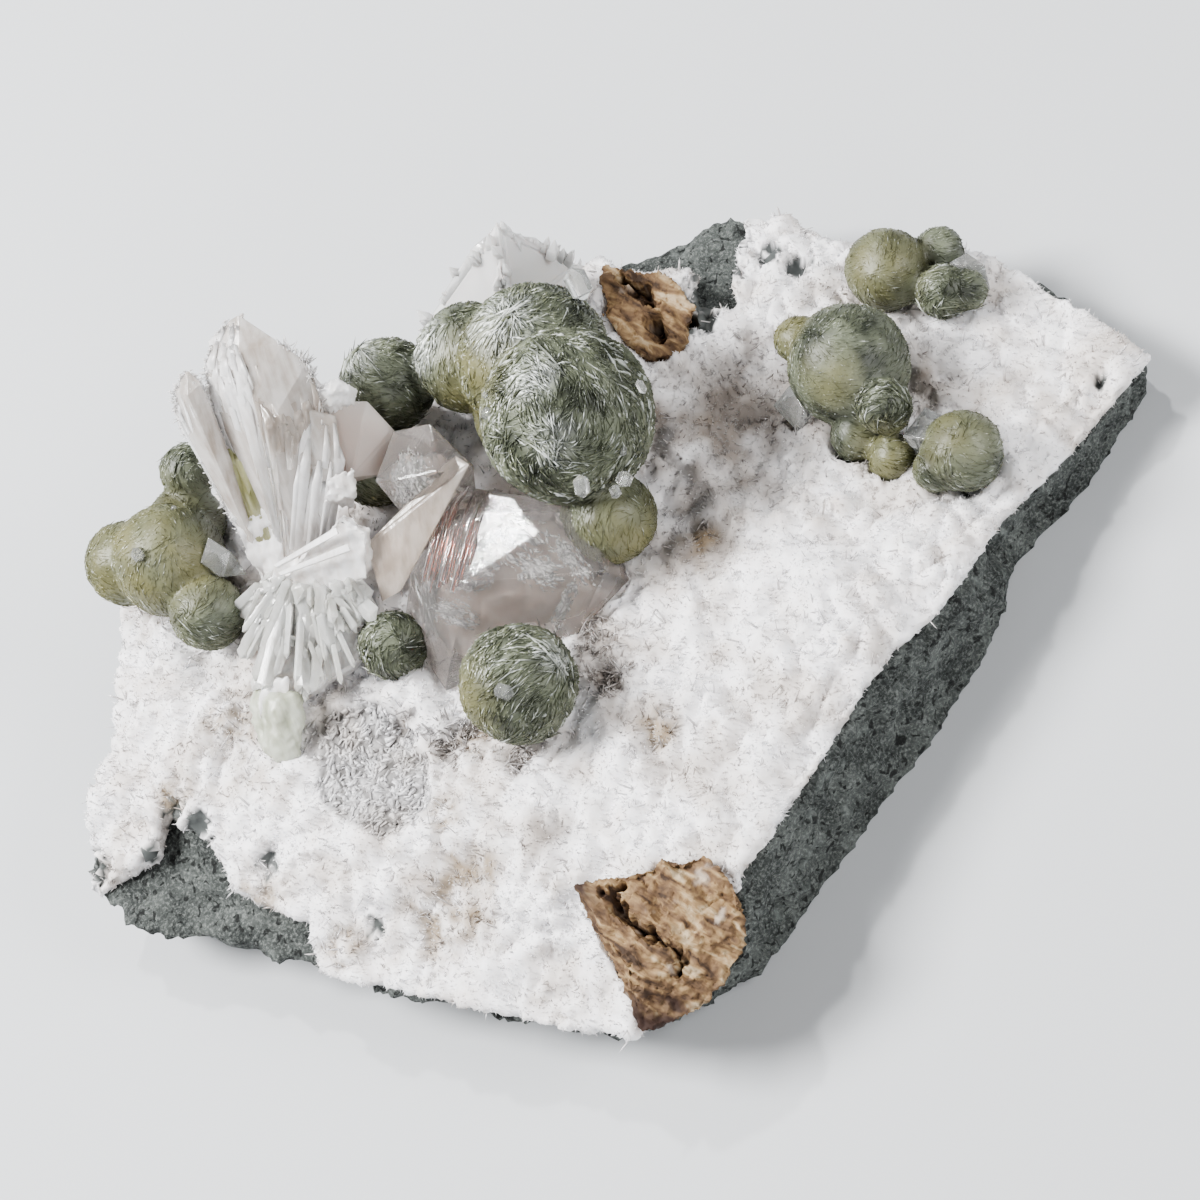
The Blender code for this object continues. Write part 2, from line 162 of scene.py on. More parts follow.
def new_material(name, **values):
    """A material with one Principled shader, and that shader's socket values."""
    made = bpy.data.materials.new(name)
    made.use_nodes = True
    shader = made.node_tree.nodes["Principled BSDF"]
    for key, value in values.items():
        shader.inputs[key.replace("_", " ")].default_value = value
    return made, made.node_tree, shader


print("mid grey 808080 in linear light:", round(linear("808080")[0], 3))

# %% [markdown]
# ## The floor
#
# A stone needs something to lie on, or its shadow has nowhere to fall. The floor is a wide
# sheet of pale, matt paper. It is stage and not part of the stone, so it is staged.

# %% Floor
FLOOR_WIDTH_MM, FLOOR_COLOUR = 4000, "c6c8ca"
bpy.ops.mesh.primitive_plane_add(size=FLOOR_WIDTH_MM * MM)
floor = bpy.context.object
floor.name = "floor"
floor_material, *_ = new_material("pale_paper", Base_Color=linear(FLOOR_COLOUR), Roughness=0.9)
floor.data.materials.append(floor_material)
print("floor colour in linear light:", [round(v, 3) for v in linear(FLOOR_COLOUR)[:3]])

# %% [markdown]
# ## Turning arrays into meshes
#
# A crust like this holds tens of thousands of needles. Particles would make them quickly,
# but they would not leave Blender with the mesh, and one object for each needle would be
# far too slow. So the lesson works out all corners with numpy and writes them into one
# mesh at once. Everything in those arrays is in millimetres, which is how one thinks
# about a mineral, and it turns to metres only when the mesh is written.

# %% Meshes from arrays
RANDOM_SEED = 20
rng = np.random.default_rng(RANDOM_SEED)


def unit(vectors):
    return vectors / np.maximum(np.linalg.norm(vectors, axis=-1, keepdims=True), 1e-9)


def mesh_from(name, points, faces):
    """A mesh from corners in millimetres and faces that all have the same number of corners."""
    mesh = bpy.data.meshes.new(name)
    faces = np.ascontiguousarray(faces, dtype=np.int32)
    mesh.vertices.add(len(points))
    mesh.vertices.foreach_set("co", (np.asarray(points) * MM).astype(np.float32).ravel())
    mesh.loops.add(faces.size)
    mesh.loops.foreach_set("vertex_index", faces.ravel())
    mesh.polygons.add(len(faces))
    mesh.polygons.foreach_set("loop_start", np.arange(len(faces), dtype=np.int32) * faces.shape[1])
    mesh.update(calc_edges=True)
    return mesh


def corners_of(mesh):
    """A mesh's corners in millimetres, and their normals."""
    count = len(mesh.vertices)
    points, normals = np.empty(count * 3), np.empty(count * 3)
    mesh.vertices.foreach_get("co", points)
    mesh.vertices.foreach_get("normal", normals)
    return points.reshape(-1, 3) / MM, normals.reshape(-1, 3)


def move_corners(mesh, points):
    mesh.vertices.foreach_set("co", (points * MM).astype(np.float32).ravel())
    mesh.update()


print("random seed", RANDOM_SEED, "gives the same needles in every run")

# %% [markdown]
# ## A packed stone with enough corners
#
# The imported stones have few, large triangles, and a surface can only be roughened where
# it has corners to move. Subdividing keeps long thin triangles, which fold over when they
# move. A voxel remesh builds the stone again from even small faces instead, and a few
# rounds of smoothing take off the steps that the voxels leave.


# %% Skins
def evaluated(thing):
    """The object's mesh with its modifiers applied; the object itself is used up."""
    graph = bpy.context.evaluated_depsgraph_get()
    mesh = bpy.data.meshes.new_from_object(thing.evaluated_get(graph))
    bpy.data.objects.remove(thing)
    return mesh


def reskinned(mesh, voxel_mm, smoothing=0):
    """The mesh again with even small faces, by a voxel remesh, and its corners softened."""
    thing = link(bpy.data.objects.new("skin", mesh))
    skin = thing.modifiers.new("skin", "REMESH")
    skin.mode = "VOXEL"
    skin.voxel_size = voxel_mm * MM
    if smoothing:
        soft = thing.modifiers.new("soft", "SMOOTH")
        soft.iterations = smoothing
        soft.factor = 0.5
    return evaluated(thing)


def mesh_of(bm, name):
    """A mesh from a bmesh, which is used up."""
    mesh = bpy.data.meshes.new(name)
    bm.to_mesh(mesh)
    bm.free()
    return mesh


def packed(node):
    """A copy of a packed stone's mesh with its shared corners joined."""
    bm = bmesh.new()
    bm.from_mesh(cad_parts[node].data)
    bmesh.ops.remove_doubles(bm, verts=bm.verts, dist=1e-6)
    bmesh.ops.triangulate(bm, faces=bm.faces)
    return mesh_of(bm, node)


print(len(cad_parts), "packed stones to give a surface")

# %% [markdown]
# ## Noise in millimetres
#
# Broken stone, felt and clay are uneven at several widths at once. One function gives
# smooth noise with lumps of a chosen width. Each use takes its own seed, so no two
# patterns rise in the same places. Reading a pattern at drifted points bends its lines,
# which keeps ridges from running as straight as a ruler.

# %% Noise
# Turned out of the plate's directions, because the lattice of the noise shows along a wall.
NOISE_TURN = np.array(Matrix.Rotation(0.6, 3, (0.3, 0.8, 0.5)))
SEED_STEP = np.array([17.3, 5.1, 9.7])
FINER, FINER_SHARE = 2.3, 0.4


def bumps(points, width, seed=0):
    """Smooth noise between about -1 and 1 whose lumps are this many millimetres wide."""
    spots = [Vector(spot) for spot in (points @ NOISE_TURN / width + SEED_STEP * seed).tolist()]
    return np.array([noise.noise(spot) + FINER_SHARE * noise.noise(spot * FINER) for spot in spots])


def drift(points, width, seeds, reach):
    """Sideways moves in millimetres, one column of smooth noise for each seed."""
    return np.stack([bumps(points, width, seed) for seed in seeds], axis=1) * reach


print("noise at one point:", bumps(np.array([[1.0, 2.0, 3.0]]), 4.0).round(3))

# %% [markdown]
# ## Random places and finished pieces
#
# Needles, gas bubbles and blade edges stand at random places, denser where a rule says
# so. Picking a face by its area and then a point in it spreads them evenly, whatever the
# size of the faces. A finished piece hides the imported stone it stands for, takes its
# materials and hangs on the body.


# %% Random places
def scatter(mesh, count, weigh=None):
    """Random places on a mesh, even by area or weighed by a function of place and normal."""
    mesh.calc_loop_triangles()
    triangles = np.empty(len(mesh.loop_triangles) * 3, np.int32)
    mesh.loop_triangles.foreach_get("vertices", triangles)
    points, _ = corners_of(mesh)
    a, b, c = (points[triangles.reshape(-1, 3)[:, k]] for k in range(3))
    across = np.cross(b - a, c - a)
    share = np.linalg.norm(across, axis=1)
    normals = unit(across)
    if weigh is not None:
        share = share * weigh((a + b + c) / 3, normals)
    chosen = rng.choice(len(a), count, p=share / share.sum())
    u, v = rng.random((2, count, 1))
    flip = u + v > 1
    u, v = np.where(flip, 1 - u, u), np.where(flip, 1 - v, v)
    places = a[chosen] + u * (b - a)[chosen] + v * (c - a)[chosen]
    return places, normals[chosen]


def tree_of(points):
    """A search tree that finds the nearest of some points."""
    found = kdtree.KDTree(len(points))
    for index, point in enumerate(points):
        found.insert(point, index)
    found.balance()
    return found


print("places can be even by area or weighed by a rule")

# %% Finished pieces
total_triangles = {}


def piece(name, mesh, node, materials, smooth_angle=None):
    """Makes a finished piece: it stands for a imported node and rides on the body."""
    thing = link(bpy.data.objects.new(name, mesh))
    mesh.materials.clear()
    for material in materials:
        mesh.materials.append(material)
    if smooth_angle is not None:
        mesh.shade_smooth()
        mesh.set_sharp_from_angle(angle=math.radians(smooth_angle))
    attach(thing, "root")
    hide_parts(node)
    total_triangles[name] = sum(len(face.vertices) - 2 for face in mesh.polygons)
    print(f"{name}: {total_triangles[name]} triangles")
    return thing


# %% [markdown]
# ## Needles and blades
#
# Two shapes repeat all over the specimen. A needle is a thin three-sided spike. A fuller
# one is a prism that keeps its width and ends in a slanted tip, which is what catches the
# light. Both are written here once, for any number of places at the same time.

# %% Needle shapes
AROUND = np.array([[math.cos(t), math.sin(t)] for t in (0.0, 2 * math.pi / 3, 4 * math.pi / 3)])


def side_vectors(directions):
    """Two unit vectors square to each direction, turned at random about it."""
    helper = unit(rng.normal(size=directions.shape))
    first = unit(np.cross(directions, helper))
    return first, np.cross(directions, first)


def spikes(places, directions, lengths, widths):
    """Closed three-sided spikes: four corners and four triangles each."""
    first, second = side_vectors(directions)
    ring = [places + (first * c + second * s) * widths[:, None] / 2 for c, s in AROUND]
    tip = places + directions * lengths[:, None]
    points = np.stack([*ring, tip], axis=1).reshape(-1, 3)
    faces = np.array([[0, 1, 3], [1, 2, 3], [2, 0, 3], [0, 2, 1]])
    return points, (faces[None] + 4 * np.arange(len(places))[:, None, None]).reshape(-1, 3)


def prisms(places, directions, lengths, widths, tip_share=0.3, flatness=0.5):
    """Closed three-sided laths with slanted tips: seven corners and ten triangles each."""
    first, second = side_vectors(directions)
    low, high = [], []
    for c, s in AROUND:
        out = (first * c + second * s * flatness) * widths[:, None] / 2
        low.append(places + out)
        high.append(places + out * 0.9 + directions * (lengths * (1 - tip_share))[:, None])
    tip = places + directions * lengths[:, None] + first * widths[:, None] * 0.2
    points = np.stack([*low, *high, tip], axis=1).reshape(-1, 3)
    faces = [[3, 4, 6], [4, 5, 6], [5, 3, 6], [0, 2, 1]]
    for a, b in ((0, 1), (1, 2), (2, 0)):
        faces += [[a, b, b + 3], [a, b + 3, a + 3]]
    steps = 7 * np.arange(len(places))[:, None, None]
    return points, (np.array(faces)[None] + steps).reshape(-1, 3)


print("a spike has 4 triangles, a lath 10")

# %% [markdown]
# ## Numbers at corners
#
# Where a seam is brown or a pit gets painted shade depends on the shape, and only the code
# that shapes the mesh knows it. So that code stores a number for each corner, and the
# material reads it by name and lays a coat of colour there. The tables of measured places
# that follow were made before the model was centred on its box, and one shift moves them
# all.

# %% Numbers at corners
SHIFT = np.array([1.622, -0.757, 0.0])


def give(mesh, **numbers):
    """Stores named numbers for the corners, one for each corner or one for all."""
    for name, values in numbers.items():
        values = np.array(np.broadcast_to(values, len(mesh.vertices)), dtype=np.float32)
        mesh.attributes.new(name, "FLOAT", "POINT").data.foreach_set("value", values)


def painted(tree, colour, **coats):
    """Coats of hex colour over a colour, each as thick as the corner number of that name."""
    for number, coat in coats.items():
        amount = add(tree, "ShaderNodeAttribute", {"attribute_name": number}).outputs["Fac"]
        colour = add(tree, "ShaderNodeMix", {"data_type": "RGBA", "B": linear(coat)},
                     Factor=amount, A=colour)
    return colour


def near(places, spots):
    """How near each place is to any of the spots (x, y, reach in mm), from 0 to 1."""
    share = np.zeros(len(places))
    for x, y, reach in spots:
        away = np.hypot(places[:, 0] - x - SHIFT[0], places[:, 1] - y - SHIFT[1]) / reach
        share = np.maximum(share, np.clip(1.3 - away, 0, 1))
    return share


print("measured tables move by", SHIFT[:2], "mm")

# %% [markdown]
# ## Basalt
#
# Basalt is a fine, dark grey-green lava, here a little weathered. Where it broke, its
# surface is granular, and small round gas bubbles show as pits with pale rims. The pits are
# darkened towards their middle with painted shade. A texture alone would leave the wall's
# outline ruled straight, so the wall is remeshed to small faces and moved: first by broad
# noise for the broken look, then by fine noise for the grain, then inwards wherever a bubble
# was cut open. The underside stays flat, because the plate rests on it.

# %% Basalt material
GRAIN_MM, PORE_MM, COARSE_MM, SPECKLE_MM, BLOTCH_MM = 0.38, 0.9, 1.1, 1.3, 4.0
basalt, tree, shader = new_material("weathered_basalt", Roughness=0.82)
place = add(tree, "ShaderNodeTexCoord").outputs["Object"]
grain = add(tree, "ShaderNodeTexNoise",
            {"Scale": 1 / (GRAIN_MM * MM), "Detail": 6.0, "Roughness": 0.7}, Vector=place)
blotch = add(tree, "ShaderNodeTexNoise", {"Scale": 1 / (BLOTCH_MM * MM), "Detail": 3.0},
             Vector=place)
speckle = add(tree, "ShaderNodeTexVoronoi", {"Scale": 1 / (SPECKLE_MM * MM)}, Vector=place)
pores = add(tree, "ShaderNodeTexNoise",
            {"Scale": 1 / (PORE_MM * MM), "Detail": 3.0, "Distortion": 0.6}, Vector=place)
dark = add(tree, "ShaderNodeValToRGB",
           {"stops": [(0.36, "1f2221"), (0.5, "4f5351"), (0.63, "9a9e9a")]}, Fac=grain)
green = add(tree, "ShaderNodeValToRGB", {"stops": [(0.38, "343836"), (0.62, "7d827e")]}, Fac=blotch)
stone = add(tree, "ShaderNodeMix", {"data_type": "RGBA", "Factor": 0.45}, A=dark, B=green)
dots = add(tree, "ShaderNodeValToRGB",
           {"stops": [(0.0, "ffffff"), (0.14, "000000"), (1.0, "000000")]}, Fac=speckle)
dotted = add(tree, "ShaderNodeMix", {"data_type": "RGBA", "B": linear("7d8480")},
             Factor=dots, A=stone)
pore_shade = add(tree, "ShaderNodeValToRGB",
                 {"stops": [(0.36, "2a2d2c"), (0.44, "ffffff"), (0.62, "ffffff")]}, Fac=pores)
pored = add(tree, "ShaderNodeMix", {"data_type": "RGBA", "blend_type": "MULTIPLY", "Factor": 0.85},
            A=dotted, B=pore_shade)
coarse = add(tree, "ShaderNodeTexNoise",
             {"Scale": 1 / (COARSE_MM * MM), "Detail": 6.0, "Roughness": 0.7}, Vector=place)
bump = add(tree, "ShaderNodeBump", {"Strength": 1.0, "Distance": 1.1 * MM}, Height=coarse)
# The pit coat is painted shade in the bubble pits; the rim coat gives them pale rims.
feed(shader, Base_Color=painted(tree, pored, rim="8f9692", pit="1b1f1e"), Normal=bump)
print("basalt grain", GRAIN_MM, "mm, pores", PORE_MM, "mm")

# %% [markdown]
# ### The broken surface of the basalt
#
# Lava breaks in hollows and low ridges of very different widths. Four layers of noise
# stand for them, from more than seven millimetres down to crumbs of one. They are stronger
# on the walls, which are freshly broken, than under the crust. A displacement modifier
# could do the same, but the pits of the gas bubbles need the moved corners.

# %% Basalt surface
# Each layer of roughness: how wide its lumps are and how far it moves the surface, in mm.
BROAD, RIDGES, SMALL_RIDGES, CRUMBS = (7.5, 1.615), (5.5, 1.275), (2.3, 0.68), (1.3, 0.34)
BEND_WIDTH_MM, BEND_MM, PATCH_WIDTH_MM = 6.0, 3.0, 9.0
INWARDS_MM, FLAT_FOOT_MM = 0.5, 1.5


def broken(points, normals):
    """How far each corner of the basalt moves out, in mm, by all its layers of roughness."""
    bent = points + drift(points, BEND_WIDTH_MM, (54, 55, 56), BEND_MM)
    patchy = np.clip(0.5 + 1.3 * bumps(points, PATCH_WIDTH_MM, 58), 0, 1)
    rise = bumps(bent, BROAD[0], 1) * BROAD[1]
    rise += (0.45 - np.abs(bumps(bent, RIDGES[0], 2))) * RIDGES[1]
    rise += (0.40 - np.abs(bumps(bent, SMALL_RIDGES[0], 57))) * SMALL_RIDGES[1] * patchy
    rise += (bumps(points, CRUMBS[0], 3) + 0.3 * rng.normal(size=len(points))) * CRUMBS[1]
    on_side = 0.35 + 0.65 * np.clip(1.2 - np.abs(normals[:, 2]), 0, 1)
    return (rise - INWARDS_MM) * on_side


print("layers of roughness:", BROAD, RIDGES, SMALL_RIDGES, CRUMBS)

# %% Basalt plate
BASALT_FACE_MM = 0.70
BUBBLES, BUBBLE_MM = 130, (0.45, 0.95)


def mostly_on_walls(places, normals):
    return (np.abs(normals[:, 2]) < 0.8) + 0.25 * (normals[:, 2] > 0.5)


def rough_basalt():
    """The plate with a broken surface and cut gas bubbles, and its underside kept flat."""
    mesh = reskinned(packed("basalt_matrix"), BASALT_FACE_MM, smoothing=4)
    points, normals = corners_of(mesh)
    free = np.clip(points[:, 2] / FLAT_FOOT_MM, 0, 1)
    points = points + normals * (broken(points, normals) * free)[:, None]
    places, _ = scatter(mesh, BUBBLES, mostly_on_walls)
    corners = tree_of(points)
    # painted shade in each pit, darkest in its middle, and a pale rim round it
    pit, rim = np.zeros(len(points)), np.zeros(len(points))
    for place in places:
        radius = rng.uniform(*BUBBLE_MM)
        for _, index, away in corners.find_range(place, radius * 1.6):
            share = away / radius
            if share < 1:
                points[index] -= normals[index] * 0.8 * radius * (1 - share ** 2) * free[index]
                pit[index] = max(pit[index], 0.8 * (1 - share))
            rim[index] = max(rim[index], 0.55 - 2.2 * abs(share - 1.1))
    points[:, 2] = np.maximum(points[:, 2], 0.0)
    move_corners(mesh, points)
    give(mesh, pit=pit, rim=rim)
    return mesh


piece("basalt_plate", rough_basalt(), "basalt_matrix", [basalt], smooth_angle=60)

# %% [markdown]
# ## The white needle crust
#
# The crust is a felt of very fine needles that looks like packed snow. It did not grow
# evenly: each bunch spreads from a point like a pin cushion, so the surface rolls in
# domes of three to four millimetres, with thin seams between them where brown clay has
# settled. Fine and longer needles stand everywhere, and the longest, clearest ones in the
# hollows beside the balls. Hair would be the quick way to make them. Solid needles are
# kept instead, because the glints come from their flat sides.
#
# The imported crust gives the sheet. It is raised into domes around random centres, and
# then the needles are scattered on it, each leaning away from the middle of its dome.

# %% Crust materials
CRUST_WHITE, CRUST_SHADE = "f4f2f3", "d6cfca"
# Coats over the white: brown stain, painted shade in the hollows, the scar's grey (partly painted
# shade) and bare basalt.
CRUST_COATS = {"hollow": "8a8078", "stain": "8a7557", "scar": "63605e", "bare": "3a403e"}
CLOUDY_MM = 6.0


def white_felt(name, roughness, clearness, glow):
    """White silicate needles: milky, glassy on their faces, stained brown in the seams, with
    painted shade in the hollows.
    """
    made, tree, shader = new_material(
        name, Roughness=roughness, IOR=1.53, Transmission_Weight=clearness, Subsurface_Weight=glow,
        Subsurface_Radius=(1.0, 0.95, 0.9), Subsurface_Scale=1.2 * MM,
    )
    place = add(tree, "ShaderNodeTexCoord").outputs["Object"]
    shade = add(tree, "ShaderNodeTexNoise", {"Scale": 1 / (CLOUDY_MM * MM), "Detail": 4.0},
                Vector=place)
    white = add(tree, "ShaderNodeValToRGB", {"stops": [(0.36, CRUST_SHADE), (0.56, CRUST_WHITE)]},
                Fac=shade)
    feed(shader, Base_Color=painted(tree, white, **CRUST_COATS))
    return made


crust_white = white_felt("milky_needle_felt", 0.55, 0.0, 0.35)
needle_white = white_felt("milky_needles", 0.28, 0.0, 0.3)
needle_clear = white_felt("clear_needles", 0.14, 0.3, 0.0)
print("needle IOR 1.53, between the 1.48 and 1.55 of the usual white silicates")

# %% [markdown]
# ### Where the crust is not white
#
# The crust is brown in some seams and worn off in crumbs near the broken edges. Its
# hollows get painted shade, grey and a little pink. Below the fan it has a scar. Each of
# these is a short table of measured spots, blurred and broken up by noise, and gives a
# share from 0 to 1.

# %% Spots on the crust
# Every spot is its x, its y and its reach in mm. First the brown seams.
STAINS = [
    (-35.4, -17.1, 4.5), (-31, -15, 3.0), (-27.5, -10, 2.6), (-4.3, -19.5, 2.6), (-50.7, 1.5, 2.2),
    (-40.6, 16.8, 4.2), (-31.5, -20.5, 2.5), (12.6, -3.0, 2.2), (-45.5, -11.0, 3.0),
    (-50.3, -0.1, 2.2), (-50.9, 15.7, 2.6), (-19.8, -4.9, 2.6), (-27.7, -17.8, 2.4),
]
# Shaded hollows beside the balls and the block.
GAPS = [
    (-22.0, -2.6, 2.6), (-17.0, -10.5, 2.4), (-3.0, -5.3, 2.8), (-5.2, -10.0, 2.6),
    (-25.5, 2.5, 2.0),
]
# Places near the broken edges where the crust is worn off in crumbs.
BARE = [
    (40.8, 23.7, 2.4), (42.3, 19.9, 2.1), (31.2, 23.6, 3.8), (29.5, 21.0, 3.0), (35.0, 25.5, 3.4),
    (-64.2, 18.4, 2.8), (-50.5, 10.5, 2.2), (-46.6, 1.5, 1.8), (-52.0, 14.0, 2.0),
    (-41.5, -12.5, 1.4), (-57.5, 12.0, 2.0), (38.5, 29.5, 3.0), (57.0, -16.0, 1.2),
    (-16.0, -44.0, 1.6),
]
# Hollows that get painted shade, grey and slightly pink.
SHADES = [
    (23.0, 6.5, 11.0), (17.0, 14.0, 5.0), (12.0, -2.0, 6.0), (-4.0, -19.0, 3.5), (30.0, 14.0, 4.0),
    (-20.0, -20.0, 3.0), (44.0, -2.0, 4.0),
]
SCAR_AT, SCAR_HALF = np.array([-31.2, 1.0]) + SHIFT[:2], (5.6, 8.6)
print("spots:", len(STAINS), "stains,", len(GAPS), "gaps,", len(BARE), "worn places,",
      len(SHADES), "grey hollows")


# %% Shares of colour
def scar_share(places):
    """1 well inside the scar where crystals broke away, 0 outside it, with an uneven edge."""
    out = np.hypot(*((places[:, :2] - SCAR_AT) / SCAR_HALF).T)
    return np.clip((1.08 - out + 0.22 * bumps(places, 2.6, 8)) * 7, 0, 1)


def stain_share(places, seam):
    """Brown in the measured places and, more thinly, in random patches of the seams."""
    spots = near(places, STAINS)
    patch = np.clip(bumps(places, 5.0, 51) - 0.35, 0, 1)
    in_spots = spots * (0.42 + 1.0 * bumps(places, 1.8, 9))
    in_seams = (0.4 * spots + 0.5 * patch) * seam ** 4
    return np.clip(in_spots + in_seams + 0.35 * patch, 0, 0.8)


def bare_share(places):
    """1 where the crust is worn down to the basalt, in crumbs about a millimetre wide."""
    spots = near(places, BARE)
    crumbs = 0.75 * bumps(places, 1.1, 18) + 0.35 * bumps(places, 0.5, 20)
    return np.clip((spots + crumbs * np.clip(spots * 3, 0, 1) - 0.55) * 7, 0, 1)


def painted_hollow_shade(places):
    """Painted shade, grey and slightly pink, in the measured hollows."""
    spots = np.maximum(near(places, SHADES) * 1.1, near(places, GAPS))
    return np.clip(spots * (0.75 + 0.7 * bumps(places, 3.5, 10)), 0, 0.95)


print("four shares: scar, stain, bare, hollow")

# %% [markdown]
# ### The domes of the crust
#
# A point belongs to the nearest dome, and a seam runs where two domes are equally near. So
# a search tree of random dome middles gives two things at once: how far the sheet rises at
# a place, and which way a needle leans there.

# %% Domes
CRUST_FACE_MM, DOMES = 0.50, 620
crust_mesh = reskinned(packed("needle_druse_crust"), CRUST_FACE_MM)
dome_places, _ = scatter(crust_mesh, DOMES, lambda p, n: (n[:, 2] > 0.15).astype(float))
domes = tree_of(dome_places)


def from_dome(points):
    """The way from the middle of each point's dome, and how far along it is, from 0 to 1."""
    found = [domes.find_n(p, 2) for p in points]
    away = points - np.array([f[0][0] for f in found])
    return away, np.array([f[0][2] / (f[0][2] + f[1][2] + 1e-6) for f in found]) * 2


print(DOMES, "domes on a sheet of", len(crust_mesh.polygons), "faces")

# %% Crust sheet
DOME_HEIGHT_MM, MOUND_WIDTH_MM, MOUND_HEIGHT_MM = 0.95, 8.0, 1.5
OVERLAP_MM = 0.5  # the underside reaches into the basalt, so that no dark gap shows

points, normals = corners_of(crust_mesh)
_, share = from_dome(points)
# The scar coat sinks the sheet and greys it; its grey is partly painted shade between the rods.
scar = scar_share(points)
bare = bare_share(points)
lift = DOME_HEIGHT_MM * (1 - np.clip(share, 0, 1) ** 3) * (1 - scar) - 0.35 - 0.45 * scar
lift += 0.3 * bumps(points, 1.5, 5) + 0.16 * bumps(points, 0.7, 6)
lift += MOUND_HEIGHT_MM * bumps(points, MOUND_WIDTH_MM, 4) - 0.9 * bare
lift -= 0.7 * np.maximum(near(points, GAPS), near(points, STAINS) * 0.6)
upward = np.clip(normals[:, 2] * 2, 0, 1)
ragged = 0.8 * bumps(points, 1.6, 19) * np.clip(1 - 1.5 * np.abs(normals[:, 2]), 0, 1)
points = points + normals * (lift * upward + ragged)[:, None]
points[:, 2] -= OVERLAP_MM * np.clip(-2 * normals[:, 2], 0, 1)
move_corners(crust_mesh, points)
# the hollow coat is painted shade in the hollows
give(crust_mesh, stain=stain_share(points, share), hollow=painted_hollow_shade(points),
     bare=bare_share(points) * 0.95, scar=scar * np.clip(0.8 + 0.6 * bumps(points, 0.8, 7), 0, 1))
piece("needle_crust", crust_mesh, "needle_druse_crust", [crust_white], smooth_angle=180)

# %% [markdown]
# ### The needles of the crust
#
# A needle leans away from the middle of its dome and a little at random. Its root sits
# under the surface, so that none floats. It takes the colour of the crust that it stands
# on, only weaker, because a needle is cleaner than the seam below it. The painted shade
# of the hollows comes along, weaker too.

# %% Needle felt
ROOT_DEPTH_MM = 0.15


def leaning(places, normals, share_of_lean, spread):
    """Needle directions: out of the surface, away from the dome's middle, a little at random."""
    away, share = from_dome(places)
    lean = unit(away) * share[:, None]
    wild = rng.normal(size=places.shape)
    return unit(normals + share_of_lean * lean + spread * wild), share


def felt(name, count, shape, size, width, lean, spread, weigh, material):
    """A piece of needles on the crust: their shape, usual length and widths in mm."""
    places, normals = scatter(crust_mesh, count, weigh)
    directions, seam = leaning(places, normals, lean, spread)
    lengths = size * rng.gamma(9.0, 1 / 9.0, count)
    widths = rng.uniform(*width, count)
    points, faces = shape(places - directions * ROOT_DEPTH_MM, directions, lengths, widths)
    mesh = mesh_from(name, points, faces)
    each = len(points) // count
    # the crust's coats, weaker: stain, painted shade of the hollows, the scar's grey
    give(mesh, stain=np.repeat(stain_share(places, seam) * 0.45, each),
         hollow=np.repeat(painted_hollow_shade(places) * 0.8, each), bare=0.0,
         scar=np.repeat(scar_share(places) * 0.5, each))
    return piece(name, mesh, "needle_druse_crust", [material])


print("needle roots sit", ROOT_DEPTH_MM, "mm under the crust")

# %% Crust needles
FINE_NEEDLES, LONG_NEEDLES, GAP_NEEDLES = 47000, 6000, 1800


def everywhere(places, normals):
    kept = (1 - 0.98 * scar_share(places)) * (1 - bare_share(places))
    return np.clip(normals[:, 2] * 3 + 1, 0, 1) * kept


def in_gaps(places, normals):
    spots = 0.03 + near(places, GAPS) + 0.15 * near(places, STAINS)
    return (normals[:, 2] > 0.6) * spots * (1 - scar_share(places))


felt("crust_needles_fine", FINE_NEEDLES, spikes, 0.44, (0.15, 0.27), 0.6, 0.40, everywhere,
     needle_white)
felt("crust_needles_long", LONG_NEEDLES, prisms, 0.62, (0.14, 0.26), 0.7, 0.50, everywhere,
     needle_clear)
felt("crust_needles_gaps", GAP_NEEDLES, prisms, 1.35, (0.2, 0.36), 0.8, 0.45, in_gaps, needle_clear)

# %% [markdown]
# ## The scar
#
# Below the fan a group of crystals was knocked off. What is left is a grey-white mosaic
# of short broken rods that lie almost flat. The same lath shape makes them, laid down in
# the surface instead of standing on it. The gaps between them are dark: the sheet under
# them is lower, and its dark grey coat is partly the broken ground and partly painted shade.

# %% Scar rods
SCAR_RODS = 640
ROD_LENGTH_MM, ROD_WIDTH_MM = (0.5, 1.3), (0.3, 0.7)
places, normals = scatter(crust_mesh, SCAR_RODS, lambda p, n: scar_share(p) * (n[:, 2] > 0.2))
flow = bumps(places, 2.4, 11) * 3.4 + 0.9 + 0.6 * rng.normal(size=SCAR_RODS)
flat = np.stack([np.cos(flow), np.sin(flow), 0.22 * rng.normal(size=SCAR_RODS)], axis=1)
flat = unit(flat - normals * np.sum(flat * normals, axis=1, keepdims=True) * 0.8)
lengths = rng.uniform(*ROD_LENGTH_MM, SCAR_RODS)
points, faces = prisms(places - flat * lengths[:, None] / 2 + normals * 0.02, flat, lengths,
                       rng.uniform(*ROD_WIDTH_MM, SCAR_RODS), tip_share=0.1, flatness=0.8)
scar_mesh = mesh_from("scar_rods", points, faces)
shades = rng.uniform(0.0, 0.6, SCAR_RODS)
give(scar_mesh, stain=0.0, hollow=0.0, bare=0.0, scar=np.repeat(shades, len(points) // SCAR_RODS))
piece("scar_rods", scar_mesh, "needle_druse_crust", [needle_white])

